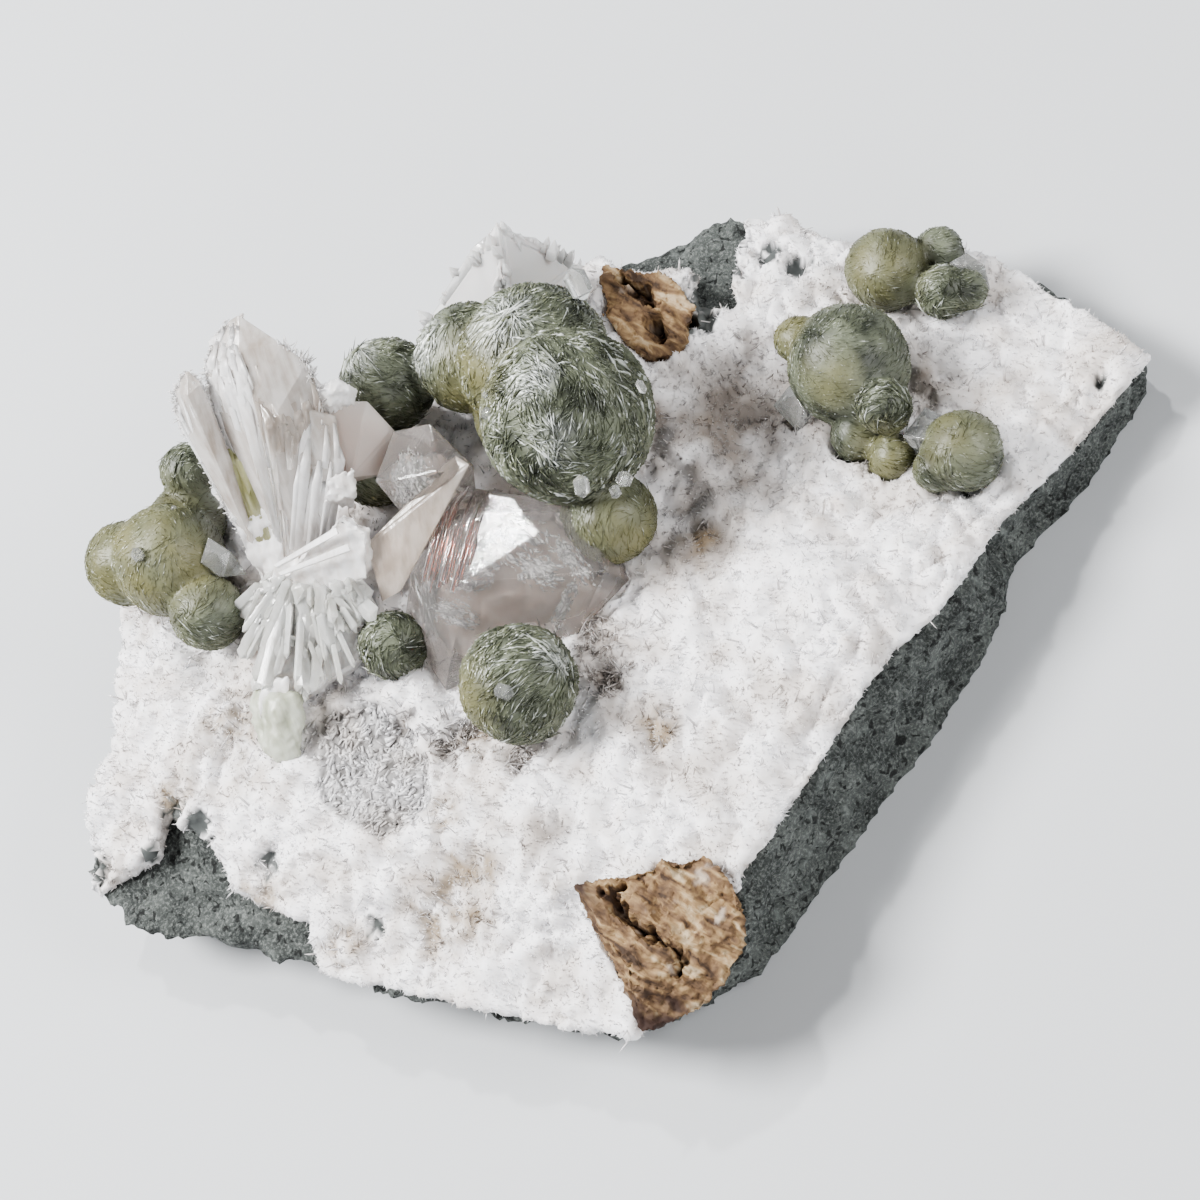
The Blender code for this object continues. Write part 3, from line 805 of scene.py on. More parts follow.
# %% [markdown]
# ## Gyrolite balls
#
# Each green ball is a bundle of thin blades that all start from its middle. On the
# outside one sees only their edges: fine, curved, pearly lines that swirl around a pole
# where the blades stand most upright and shine white. The colour goes from olive where
# the blades are smooth and packed, to grey-green with bright edges where they stand open.
#
# First the overlapping lobes become one skin. Then blade edges are laid on it: long thin
# wedges along a swirl around each lobe's pole. Skin and edges are one mineral with two
# finishes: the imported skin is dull, and the open edges are smooth and catch the light.

# %% Gyrolite material
GREY_GREEN, DEEP_GREEN = "6d7260", "31352a"
# The edge coat is partly the pale of the frosty spots and partly painted glint on blade edges.
GREEN_COATS = {"olive": "706e4c", "edge": "e4e8e2"}
MOTTLE_MM, BLADE_GRAIN_MM = 3.5, 0.5


def green_mineral(name, roughness):
    """Gyrolite: mottled green, olive where packed, pale in frosty spots, with painted glints on
    some open blade edges.
    """
    made, tree, shader = new_material(
        name, Roughness=roughness, IOR=1.545, Subsurface_Weight=0.15,
        Subsurface_Radius=(1.0, 1.0, 0.6), Subsurface_Scale=0.6 * MM,
    )
    place = add(tree, "ShaderNodeTexCoord").outputs["Object"]
    mottle = add(tree, "ShaderNodeTexNoise", {"Scale": 1 / (MOTTLE_MM * MM), "Detail": 5.0},
                 Vector=place)
    green = add(tree, "ShaderNodeValToRGB", {"stops": [(0.33, DEEP_GREEN), (0.6, GREY_GREEN)]},
                Fac=mottle)
    grain = add(tree, "ShaderNodeTexNoise", {"Scale": 1 / (BLADE_GRAIN_MM * MM), "Detail": 4.0},
                Vector=place)
    bump = add(tree, "ShaderNodeBump", {"Strength": 0.5, "Distance": 0.12 * MM}, Height=grain)
    feed(shader, Base_Color=painted(tree, green, **GREEN_COATS), Normal=bump)
    return made


gyrolite_skin = green_mineral("gyrolite_packed_blades", 0.46)
gyrolite_edges = green_mineral("gyrolite_pearly_edges", 0.27)
print("gyrolite IOR 1.545, its usual middle value")

# %% [markdown]
# ### The lobes
#
# Every ball is measured as one or more spheres that overlap. Besides its place and radius,
# each lobe has a pole, a swirl and an openness, judged from the real balls. Where a
# small lobe has no clear pole, it points up or towards the front.

# %% Gyrolite lobes
# For each cluster: its lobes (centre x, y, z and radius), and for each lobe the way its
# pole points, how strongly the blades swirl, and how smooth (0) or open (1) they are.
UP, CAMERA_SIDE = (-0.3, 0.35, 0.9), (-0.2, -0.75, 0.65)
CLUSTERS = {
    "gyrolite_main_cluster": [
        ((10.0, 11.0, 29.0), 9.5, (-0.42, -0.55, 0.72), 1.15, 1.0),
        ((11.4, 21.0, 27.0), 8.6, (0.1, 0.1, 1.0), 0.45, 0.85),
        ((6.3, 28.1, 26.0), 6.2, (0.2, 0.2, 1.0), 0.3, 0.6),
        ((8.0, 20.0, 21.4), 6.9, (-0.6, 0.2, 0.8), 0.3, 0.1),
        ((-2.7, 33.5, 25.0), 5.5, (0.1, 0.5, 0.9), 0.5, 0.7),
        ((-9.6, 29.0, 20.5), 4.6, (0.2, 0.5, 0.8), 0.2, 0.6),
        ((6.6, 3.2, 20.3), 5.2, (0.5, -0.6, 0.4), 0.9, 0.5),
    ],
    "gyrolite_front_ball": [((-12.4, -6.6, 21.8), 6.4, (0.75, -0.5, 0.35), 0.3, 0.9)],
    "gyrolite_small_ball": [((-20.8, 9.8, 18.9), 3.8, (0.3, -0.6, 0.7), 0.6, 0.8)],
    "gyrolite_left_cluster": [
        ((-39.2, 41.0, 21.5), 4.9, (-0.5, 0.2, 0.8), 0.4, 0.3),
        ((-34.9, 36.9, 22.0), 6.6, (0.3, -0.5, 0.8), 0.6, 0.35),
        ((-26.9, 43.6, 24.0), 3.3, (0.5, -0.6, 0.6), 0.9, 0.4),
        ((-35.1, 28.8, 20.3), 4.4, (-0.3, -0.3, 0.9), 0.4, 0.5),
        ((-31.0, 40.5, 20.5), 4.6, (0.2, -0.3, 0.9), 0.4, 0.2),
    ],
    "gyrolite_right_upper": [
        ((48.4, 9.7, 13.2), 4.7, (-0.4, -0.3, 0.9), 0.5, 0.25),
        ((54.3, 8.1, 11.5), 2.9, UP, 0.4, 0.4),
        ((51.2, 3.0, 12.4), 3.1, CAMERA_SIDE, 0.6, 0.75),
        ((53.3, 1.7, 11.9), 2.4, UP, 0.5, 0.5),
    ],
    "gyrolite_right_middle": [
        ((37.4, 0.9, 16.5), 6.8, (-0.1, 0.3, 0.95), 0.9, 0.4),
        ((35.2, 7.4, 17.0), 2.8, UP, 0.3, 0.0),
        ((36.8, -7.2, 18.2), 3.0, CAMERA_SIDE, 0.9, 0.9),
        ((32.9, -4.9, 13.6), 2.9, UP, 0.4, 0.2),
        ((34.2, -9.8, 13.4), 2.7, UP, 0.4, 0.2),
    ],
    "gyrolite_right_lower": [
        ((40.0, -15.4, 14.2), 4.5, (-0.2, -0.2, 0.95), 0.4, 0.45),
        ((36.6, -14.9, 14.0), 2.6, UP, 0.3, 0.05),
    ],
}
print(sum(len(lobes) for lobes in CLUSTERS.values()), "lobes in", len(CLUSTERS), "clusters")

# %% [markdown]
# ### Colours and skins of the balls
#
# Olive and frosty places don't follow the lobes, so they are spots in space with a reach.
# The overlapping spheres become one closed skin by a voxel remesh, which is more reliable
# than joining spheres with Booleans, and rounds the seams between them as growth does.

# %% Colours of the balls
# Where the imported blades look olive, and where the edges are almost white: x, y, z, reach.
OLIVE_SPOTS = [
    (3.5, 21.0, 34.0, 7.5), (0.5, 20.0, 28.0, 7.0), (6.0, 0.0, 20.0, 6.0),
    (-38.0, 38.0, 24.0, 10.0), (-34.0, 33.0, 24.0, 6.0), (48.0, 9.0, 16.0, 5.5),
    (35.2, 7.4, 18.0, 4.5), (-16.5, -6.0, 24.0, 4.5), (34.0, -10.0, 15.0, 4.5),
    (40.0, -15.0, 16.0, 4.0), (-9.6, 27.0, 20.0, 3.5), (35, -1, 20, 3.5),
]
FROST_SPOTS = [
    (6.0, 4.2, 37.0, 3.4), (9.6, 10.9, 38.4, 2.8), (11.1, 22.3, 35.4, 4.2), (-3.5, 36.0, 29.5, 3.0),
    (3.0, 30.0, 31.0, 3.2), (-8.0, -8.5, 24.5, 2.2),
]


def spot_share(points, spots):
    share = np.zeros(len(points))
    for x, y, z, reach in spots:
        away = np.linalg.norm(points - (np.array([x, y, z]) + SHIFT), axis=1) / reach
        share = np.maximum(share, np.clip(1.5 - 1.2 * away, 0, 1))
    return share


def olive_share(points):
    return np.clip(spot_share(points, OLIVE_SPOTS) * (0.85 + 0.5 * bumps(points, 3.0, 12)), 0, 1)


print(len(OLIVE_SPOTS), "olive spots and", len(FROST_SPOTS), "frosty ones")

# %% Skins of the balls
SKIN_FACE_MM, SKIN_SINK_MM = 0.42, 0.10  # the skin sinks, so that the blade edges keep the size


def skin_of(lobes):
    """One closed skin round overlapping lobes, a little uneven."""
    bm = bmesh.new()
    for centre, radius, *_ in lobes:
        place = Matrix.Translation((Vector(centre) + Vector(SHIFT)) * MM)
        bmesh.ops.create_icosphere(bm, subdivisions=4, radius=(radius - SKIN_SINK_MM) * MM,
                                   matrix=place)
    mesh = reskinned(mesh_of(bm, "lobes"), SKIN_FACE_MM, smoothing=3)
    points, normals = corners_of(mesh)
    uneven = 0.22 * bumps(points, 4.0, 13) + 0.05 * bumps(points, 0.9, 14)
    move_corners(mesh, points + normals * uneven[:, None])
    return mesh


print("skin faces", SKIN_FACE_MM, "mm wide")

# %% [markdown]
# ### Blade edges
#
# Each edge is a thin wedge with a sharp ridge. Its direction turns from straight out of
# the pole to around it by the lobe's own swirl, bent by noise, because the real blades
# come in bunches that curve together. Open lobes get longer and higher wedges. A few
# wedges in each patch get a painted glint: white colour, strongest on the ridge, as if
# they faced the light. In the frosty spots the edges are also pale.

# %% Wedges


def lobe_of(points, lobes):
    """The lobe that each point lies on."""
    away = [np.linalg.norm(points - (np.array(c) + SHIFT), axis=1) - r for c, r, *_ in lobes]
    return np.argmin(np.abs(away), axis=0)


def wedges(places, along, normals, lengths, widths, heights):
    """Closed thin wedges lying on a surface with a sharp edge above: five corners each."""
    side = unit(np.cross(along, normals))
    low = normals * -0.08
    ends = along * (lengths / 2)[:, None]
    out = side * (widths / 2)[:, None]
    slant = widths * rng.uniform(-0.4, 0.4, len(places))
    top = normals * heights[:, None] + side * slant[:, None]
    foot = places + low
    points = np.stack([foot - ends, foot + ends, foot - out, foot + out, places + top], axis=1)
    points = points.reshape(-1, 3)
    faces = np.array([[0, 2, 4], [0, 4, 3], [1, 4, 2], [1, 3, 4], [0, 3, 2], [1, 2, 3]])
    return points, (faces[None] + 5 * np.arange(len(places))[:, None, None]).reshape(-1, 3)


print("a wedge has 6 triangles")

# %% Blade edges
BLADES_EACH_SQUARE_MM = 6.2
BLADE_WIDTH_MM, BLADE_HEIGHT_MM = (0.08, 0.20), (0.08, 0.34)
# How much of the pale coat and the painted glint each corner of a wedge takes, the ridge most
PALE_AND_GLINT_SHARES = [0.5, 0.5, 0.2, 0.2, 1.0]  # of a wedge's two ends, two sides and ridge


def blade_ways(places, normals, lobes, which, opened):
    """The way each blade edge runs on the skin."""
    pole = unit(np.array([lobes[i][2] for i in which], dtype=float))
    swirl = np.array([lobes[i][3] for i in which])
    out_from_pole = unit(pole - normals * np.sum(pole * normals, axis=1, keepdims=True))
    around = np.cross(normals, out_from_pole)
    turn = np.arccos(np.clip(np.sum(pole * normals, axis=1), -1, 1))
    angle = swirl * np.clip(turn / 0.8, 0, 1.3) + 0.22 * rng.normal(size=len(places))
    angle += (0.9 * bumps(places, 3.4, 15) + 0.7 * bumps(places, 1.5, 16)) * (0.3 + opened)
    return unit(out_from_pole * np.cos(angle)[:, None] + around * np.sin(angle)[:, None])


def blade_edges(name, skin, lobes):
    """Blade edges over a skin, swirling around each lobe's pole, as one mesh."""
    area = sum(face.area for face in skin.polygons) / MM ** 2
    count = int(area * BLADES_EACH_SQUARE_MM)
    places, normals = scatter(skin, count)
    which = lobe_of(places, lobes)
    opened = np.array([lobes[i][4] for i in which])
    ways = blade_ways(places, normals, lobes, which, opened)
    olive = olive_share(places)
    frost = spot_share(places, FROST_SPOTS)
    opened = np.clip(opened * (1 - 0.6 * olive) + 0.5 * frost, 0.3, 1.3)
    lengths = rng.gamma(4.0, 1 / 4.0, count) * (0.85 + 1.25 * opened)
    widths = rng.uniform(*BLADE_WIDTH_MM, count) * (1 + 0.5 * opened)
    heights = rng.uniform(*BLADE_HEIGHT_MM, count) * (0.12 + opened)
    points, faces = wedges(places, ways, normals, lengths, widths, heights)
    patchy = np.clip(0.4 + 1.9 * bumps(places, 2.2, 17), 0, 1)
    # painted glints: a few wedges in open patches are coloured white as if they faced the light
    painted_glint = (rng.random(count) < 0.02 + 0.24 * opened * patchy) * rng.uniform(0.3, 1.0, count)
    bright = np.clip(painted_glint * (0.3 + 0.7 * opened) + 1.3 * frost * rng.random(count), 0, 1)
    mesh = mesh_from(name, points, faces)
    give(mesh, olive=np.repeat(olive, len(PALE_AND_GLINT_SHARES)), edge=np.outer(bright, PALE_AND_GLINT_SHARES).ravel())
    return mesh


print(BLADES_EACH_SQUARE_MM, "blade edges on each square millimetre")

# %% Gyrolite pieces
for node, lobes in CLUSTERS.items():
    skin = skin_of(lobes)
    points, _ = corners_of(skin)
    give(skin, olive=olive_share(points), edge=spot_share(points, FROST_SPOTS) * 0.3)
    piece(node + "_skin", skin, node, [gyrolite_skin], smooth_angle=180)
    edges = blade_edges(node + "_blades", skin, lobes)
    piece(node + "_blades", edges, node, [gyrolite_edges])

# %% [markdown]
# ## Clear crystal
#
# A clear crystal has hardly a colour of its own. Light goes through it, bends by its
# index of refraction and loses a little of itself to the inside: that is absorption, and
# it grows with the depth. Faces of real crystals are never quite flat either, and a faint
# wave in them breaks up the highlights.

# %% Clear crystal materials
ABSORPTION = 20.0  # for each metre, so a crystal 20 mm thick takes off a tenth at most
RIPPLE_MM = 1.6


def clear_mineral(name, tint, roughness, ior, glow=0.0, clearness=1.0, wave=0.35, inside="f7ebe6"):
    """A clear crystal: plain transmission, index of refraction, absorption, wavy faces."""
    made, tree, shader = new_material(
        name, Base_Color=linear(tint), Roughness=roughness, IOR=ior,
        Transmission_Weight=clearness, Subsurface_Weight=glow,
        Subsurface_Radius=(1.0, 0.9, 0.85), Subsurface_Scale=2.0 * MM,
    )
    place = add(tree, "ShaderNodeTexCoord").outputs["Object"]
    ripple = add(tree, "ShaderNodeTexNoise",
                 {"Scale": 1 / (RIPPLE_MM * MM), "Detail": 5.0, "Roughness": 0.6}, Vector=place)
    bump = add(tree, "ShaderNodeBump", {"Strength": wave, "Distance": 0.15 * MM}, Height=ripple)
    depth = add(tree, "ShaderNodeVolumeAbsorption",
                {"Color": linear(inside), "Density": ABSORPTION})
    feed(shader, Normal=bump)
    feed(tree.nodes["Material Output"], Volume=depth)
    return made


clear_block = clear_mineral("clear_apophyllite", "faf6f3", 0.05, 1.535, clearness=0.92, wave=0.5)
clear_small = clear_mineral("clear_small_crystals", "f2f3f1", 0.05, 1.52, clearness=0.85,
                            inside="f2f6f2")
pyramid_white = clear_mineral("veiled_white_crystal", "faf8f6", 0.16, 1.53, glow=0.5,
                              clearness=0.22)
pink_milky = clear_mineral("milky_pink_crystal", "f3e6df", 0.14, 1.53, glow=0.55, clearness=0.25)
print("clear crystals: IOR 1.52 to 1.535, absorption", ABSORPTION, "for each metre")

# %% [markdown]
# ## Crystal shapes
#
# A crystal has flat faces that meet at true edges, so it is the hull of a few measured
# corners. Two things keep a hull from looking like cut plastic: low growth steps on its
# wide faces, and a fine bevel, which gives each edge its line of light. Things that are
# soft or broken use a remeshed hull instead.


# %% Crystal shapes
GROWTH_FACE_MM2, FLAT_DEGREES = 6.0, 4


def hull_bm(corners):
    """A closed hull round a list of corners in millimetres."""
    bm = bmesh.new()
    made = [bm.verts.new((Vector(c) + Vector(SHIFT)) * MM) for c in corners]
    found = bmesh.ops.convex_hull(bm, input=made)
    unused = found["geom_interior"] + found["geom_unused"]
    loose = [element for element in unused if isinstance(element, bmesh.types.BMVert)]
    bmesh.ops.delete(bm, geom=list(set(loose)), context="VERTS")
    bmesh.ops.dissolve_limit(bm, angle_limit=math.radians(FLAT_DEGREES), verts=bm.verts,
                             edges=bm.edges)
    bmesh.ops.recalc_face_normals(bm, faces=bm.faces)
    return bm


def grown(corners, bevel_mm=0.15, steps=1, step_mm=0.10):
    """A hull with growth steps on its wide faces and worn edges."""
    bm = hull_bm(corners)
    for _ in range(steps):
        for face in [f for f in bm.faces if f.calc_area() > GROWTH_FACE_MM2 * MM ** 2]:
            wide = math.sqrt(face.calc_area()) * rng.uniform(0.06, 0.16)
            bmesh.ops.inset_region(bm, faces=[face], thickness=wide,
                                   depth=rng.uniform(0.4, 1.0) * step_mm * MM)
    bmesh.ops.bevel(bm, geom=bm.edges[:], offset=bevel_mm * MM, segments=2, profile=0.6,
                    affect="EDGES", clamp_overlap=True)
    bmesh.ops.triangulate(bm, faces=bm.faces)
    return mesh_of(bm, "crystal")


def soft_hull(corners, face_mm, smoothing):
    """A hull with even small faces and soft corners, for things that aren't crystals."""
    bm = hull_bm(corners)
    bmesh.ops.triangulate(bm, faces=bm.faces)
    return reskinned(mesh_of(bm, "hull"), face_mm, smoothing)


def joined(meshes, name):
    """Several meshes as one."""
    bm = bmesh.new()
    for mesh in meshes:
        bm.from_mesh(mesh)
    return mesh_of(bm, name)


print("faces that meet at under", FLAT_DEGREES, "degrees count as one")

# %% [markdown]
# ## Small crystals that sit on the balls
#
# A few short clear crystals, one to four millimetres long, grew on top of the green balls.
# Each is a six-sided prism with a low point at both ends, turned and sized by a table.

# %% Small crystals on the balls


def short_prism(place, direction, length, width):
    """A six-sided prism with a low point at both ends, in millimetres."""
    direction = Vector(direction).normalized()
    first = direction.orthogonal().normalized()
    second = direction.cross(first)
    corners = [Vector(place) + direction * length * s for s in (-0.5, 0.5)]
    for k in range(6):
        out = (first * math.cos(k * math.pi / 3) + second * math.sin(k * math.pi / 3)) * width / 2
        for s in (-0.28, 0.28):
            corners.append(Vector(place) + out * (1.0 if k % 3 else 1.25) + direction * length * s)
    return grown(corners, bevel_mm=0.05, steps=0)


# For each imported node: place x, y, z, the way the crystal points, its length and its width in mm.
RIDERS = {
    "gyrolite_main_cluster": [
        ((3.6, 13.2, 35.2), (-0.4, 0.9, 0.1), 2.2, 1.3),
        ((6.2, 0.9, 31.6), (0.5, 0.7, 0.5), 2.6, 1.7),
        ((8.6, -0.3, 28.6), (0.3, 0.9, 0.2), 1.6, 1.2),
        ((10.2, 0.6, 28.0), (0.9, 0.3, 0.4), 1.9, 1.4),
        ((20.3, 21.5, 32.0), (0.2, 0.6, 0.7), 4.2, 2.6),
        ((12.0, 1.9, 30.4), (0.6, 0.6, 0.2), 1.4, 0.9),
        ((17.8, 5.2, 32.5), (0.2, 0.8, 0.5), 1.8, 0.9),
        ((4.6, 15.0, 36.0), (0.1, 0.2, 1.0), 0.7, 0.6),
    ],
    "gyrolite_front_ball": [((-13.9, -9.7, 27.2), (-0.5, 0.8, 0.1), 2.5, 1.5)],
    "gyrolite_left_cluster": [
        ((-36.6, 35.3, 28.2), (0.0, 0.7, 0.5), 1.9, 1.5),
        ((-30.5, 38.5, 26.6), (0.9, 0.1, 0.4), 0.8, 0.5),
    ],
}
for node, tables in RIDERS.items():
    mesh = joined([short_prism(*row) for row in tables], node + "_riders")
    piece(node + "_small_crystals", mesh, node, [clear_small], smooth_angle=20)

# %% [markdown]
# ## Laths between two rails
#
# Many faces here are bundles of long thin blades: the lines on the block and the pyramid,
# and all of the fan. Two rails are drawn along the left and the right outline of such a
# face. Each lath then runs between them from the root towards the tip, a little bent, and
# ends at its own height. So the lines follow the outline by themselves.

# %% Laths between rails


def along(rail, share):
    """Points on a polyline at shares of its length from 0 to 1."""
    rail = np.asarray(rail, dtype=float) + SHIFT
    steps = np.linalg.norm(np.diff(rail, axis=0), axis=1)
    at = np.concatenate([[0], np.cumsum(steps)]) / steps.sum()
    return np.stack([np.interp(share, at, rail[:, k]) for k in range(3)], axis=1)


def laths(start, middle, end, across, up, widths, heights):
    """Closed laths bent at the middle, with a chisel end: ten corners each."""
    half = across * (widths / 2)[:, None]
    rise = up * heights[:, None]
    rows = []
    for spot, wide in ((start, 0.7), (middle, 1.0)):
        rows += [spot - half * wide - rise, spot + half * wide - rise,
                 spot + half * wide * 0.8 + rise, spot - half * wide * 0.8 + rise]
    rows += [end - half * 0.25, end + half * 0.4]
    points = np.stack(rows, axis=1).reshape(-1, 3)
    faces = [[0, 2, 1], [0, 3, 2]]
    for a, b in ((0, 1), (1, 2), (2, 3), (3, 0)):
        faces += [[a, b, b + 4], [a, b + 4, a + 4]]
    faces += [[4, 5, 9], [4, 9, 8], [5, 6, 9], [6, 7, 8], [6, 8, 9], [7, 4, 8]]
    steps = 10 * np.arange(len(start))[:, None, None]
    return points, (np.array(faces)[None] + steps).reshape(-1, 3)


def sheaf(left, right, count, ends=(0.8, 1.0), starts=(0.0, 0.12), width=(0.5, 1.1), height=0.22,
          lift=0.0):
    """Laths that fill the strip between two rails, from the root towards the tips."""
    t = (np.arange(count) + rng.random(count)) / count
    s0, s1 = rng.uniform(*starts, count), rng.uniform(*ends, count)
    sm = s0 + (s1 - s0) * rng.uniform(0.7, 0.9, count)
    spots = [along(left, s) * (1 - t)[:, None] + along(right, s) * t[:, None] for s in (s0, sm, s1)]
    across = unit(along(right, sm) - along(left, sm))
    way = unit(spots[2] - spots[0])
    up = unit(np.cross(across, way))
    up *= np.sign(up @ np.array(towards))[:, None]
    level = up * (lift + rng.uniform(-0.12, 0.16, count))[:, None]
    spots = [spot + level for spot in spots]
    widths, heights = rng.uniform(*width, count), np.full(count, height)
    return laths(*spots, unit(np.cross(way, up)), up, widths, heights)


print("a lath between rails has 16 triangles")

# %% [markdown]
# ## The clear block
#
# The block under the big ball is one clear crystal with a slight pink tinge. Its upper
# face is bright with white veils and fine lines, its lower face looks into a pinkish,
# cloudy inside, and its left part is striated. A real crystal gets this look from inside:
# thin healed cracks and clouds. So the block is clear mineral, and three kinds of sealed
# pieces stand in it: a soft cloud, a few veils and a bundle of thin ribs. A veil as one
# sheet would look like paper. Here it is a warped cloud of tiny flakes, which is what a
# healed crack is. The lines lie on the upper face and not inside.

# %% Block tables
BLOCK_CORNERS = [
    (-4, 16.4, 25), (5.4, 3.9, 24), (2.5, -2.4, 21.5), (-9.7, 5.1, 25.5), (3.8, -1.6, 15.7),
    (-5.1, -3, 16), (-19.4, 2.5, 16), (-18.9, 12.2, 16.5), (-14, 12, 24), (-5, 16, 15.8),
    (6, 5, 15.7),
]
ROUND_CORNERS = [
    (-10.6, 22.6, 27), (-9.4, 24, 22), (-5.5, 24.3, 29.5), (-1.9, 20.7, 31), (-1.2, 14.3, 28.5),
    (-4, 13.5, 23), (-10.7, 17.3, 23), (-8.6, 18.4, 30), (-4.6, 15.4, 30.5), (-10, 20, 20),
    (-3, 22, 21),
]
# Each veil: its middle, the way it faces, its length and its width in mm.
VEILS = [
    ((-2.5, 7.0, 23.2), (0.2, -0.35, 0.9), 10.0, 6.5),
    ((-6.0, 9.0, 23.2), (-0.5, -0.3, 0.8), 8.0, 2.2),
    ((-8.5, 7.0, 22.8), (-0.4, -0.6, 0.7), 7.0, 3.6),
    ((0.5, 2.0, 21.2), (0.3, -0.6, 0.7), 7.5, 2.4),
    ((-3.0, 3.0, 22.0), (0.0, -0.5, 0.9), 8.0, 4.0),
    ((-3.0, -0.5, 19.0), (0.1, -0.9, 0.3), 8.0, 2.0),
    ((-13.0, 6.5, 21.0), (-0.5, -0.6, 0.5), 6.0, 4.0),
    ((-6.6, 19.0, 27.5), (0.1, -0.5, 0.85), 6.0, 4.0),
    ((-8.0, 20.0, 25.0), (-0.5, -0.5, 0.6), 5.0, 3.0),
]
# The striated zone of the upper face, between these two rails.
LINES_LEFT = [(-15.1, 8.4, 24.4), (-9.2, 14.2, 24.6), (-3.9, 17.6, 25.0)]
LINES_RIGHT = [(-10.8, 4.5, 25.8), (-5.1, 9.7, 25.2), (-0.1, 13.2, 24.7)]
RIBS_LOW, RIBS_HIGH, RIBS_ACROSS = (-14.0, 9.0, 18.0), (-12.4, 11.5, 23.2), (5.0, 3.0, 0.0)
print("the block has", len(BLOCK_CORNERS), "measured corners and", len(VEILS), "veils")


# %% Sealed shapes
FLAKES, FLAKE_THICK_MM = 150, 0.02


def cloud_of(corners, share, sink):
    """A soft cloud inside a crystal: its hull, smaller, sunk by some mm and uneven."""
    middle = np.mean(corners, axis=0)
    inner = middle + (np.array(corners) - middle) * share - [0, 0, sink]
    mesh = soft_hull(inner.tolist(), 0.5, 6)
    points, normals = corners_of(mesh)
    move_corners(mesh, points + normals * (0.7 * bumps(points, 3.0, 21) - 0.5)[:, None])
    return mesh


def veil(middle, facing, length, width):
    """A healed crack: tiny flakes on a warped sheet, thinning out towards its edge."""
    facing = unit(np.array(facing, dtype=float))
    first = unit(np.cross(facing, rng.normal(size=3)))
    second = np.cross(facing, first)
    reach = rng.random(FLAKES) ** 0.7
    turn = rng.uniform(0, 2 * math.pi, FLAKES)
    places = np.array(middle) + SHIFT + (np.outer(reach * np.cos(turn) * length / 2, first)
                                         + np.outer(reach * np.sin(turn) * width / 2, second))
    places += facing * (0.5 * bumps(places, 1.8, 22))[:, None]
    ways = unit(first + second * 0.5 * rng.normal(size=(FLAKES, 1))
                + 0.12 * rng.normal(size=(FLAKES, 3)))
    normals = unit(facing + 0.12 * rng.normal(size=(FLAKES, 3)))
    lengths = rng.gamma(3.0, 0.35, FLAKES) * (1.3 - reach)
    return mesh_from("veil", *wedges(places, ways, normals, lengths, lengths * 0.35,
                                     np.full(FLAKES, FLAKE_THICK_MM)))


def ribs(low, high, across, count, width):
    """Thin upright laths in a bundle from low to high points, spread along a vector."""
    spread = rng.uniform(-0.5, 0.5, (count, 1)) * np.array(across)
    start = np.array(low) + SHIFT + spread + rng.normal(size=(count, 3)) * 0.35
    end = np.array(high) + SHIFT + spread + rng.normal(size=(count, 3)) * 0.35
    way = end - start
    lengths = np.linalg.norm(way, axis=1) * rng.uniform(0.5, 1.0, count)
    points, faces = prisms(start + way * rng.uniform(0, 0.3, (count, 1)), unit(way), lengths,
                           rng.uniform(*width, count), flatness=0.3)
    return mesh_from("ribs", points, faces)


print(FLAKES, "flakes in each veil")

# %% Sealed materials
WISP_MM = 2.6


def inner_white(name, dark, bright, clearness, glow):
    """Cloudy mineral inside a clear one: wispy, between a darker and a brighter white."""
    made, tree, shader = new_material(
        name, Roughness=0.4, IOR=1.5, Transmission_Weight=clearness, Subsurface_Weight=glow,
        Subsurface_Radius=(1.0, 0.85, 0.75), Subsurface_Scale=2.5 * MM,
    )
    place = add(tree, "ShaderNodeTexCoord").outputs["Object"]
    wisps = add(tree, "ShaderNodeTexNoise",
                {"Scale": 1 / (WISP_MM * MM), "Detail": 6.0, "Distortion": 0.8}, Vector=place)
    shade = add(tree, "ShaderNodeValToRGB", {"stops": [(0.3, dark), (0.7, bright)]}, Fac=wisps)
    feed(shader, Base_Color=shade)
    return made


cloud_pink = inner_white("pinkish_cloud", "d8c9bf", "ece3dc", 0.5, 0.45)
veil_white = inner_white("white_veil", "e6e8ea", "ffffff", 0.35, 0.0)
print("sealed pieces:", cloud_pink.name, "and", veil_white.name)

# %% Block pieces
RIBS, LINES = 46, 30


def of_block(name, mesh, material, smooth_angle=None):
    piece(name, mesh, "clear_block_crystals", [material], smooth_angle)


of_block("clear_block", grown(BLOCK_CORNERS, 0.22), clear_block, 20)
of_block("clear_round_crystal", grown(ROUND_CORNERS, 0.35), clear_block, 20)
clouds = [cloud_of(BLOCK_CORNERS, 0.8, 2.6), cloud_of(ROUND_CORNERS, 0.62, 2.4)]
of_block("block_clouds", joined(clouds, "block_clouds"), cloud_pink, 180)
of_block("block_veils", joined([veil(*row) for row in VEILS], "block_veils"), veil_white, 180)
rib_mesh = ribs(RIBS_LOW, RIBS_HIGH, RIBS_ACROSS, RIBS, (0.25, 0.7))
lines = sheaf(LINES_LEFT, LINES_RIGHT, LINES, ends=(0.35, 1.0), starts=(0.0, 0.6),
              width=(0.2, 0.8), height=0.10, lift=0.02)
of_block("block_ribs", rib_mesh, veil_white)
of_block("block_lines", mesh_from("block_lines", *lines), clear_block)

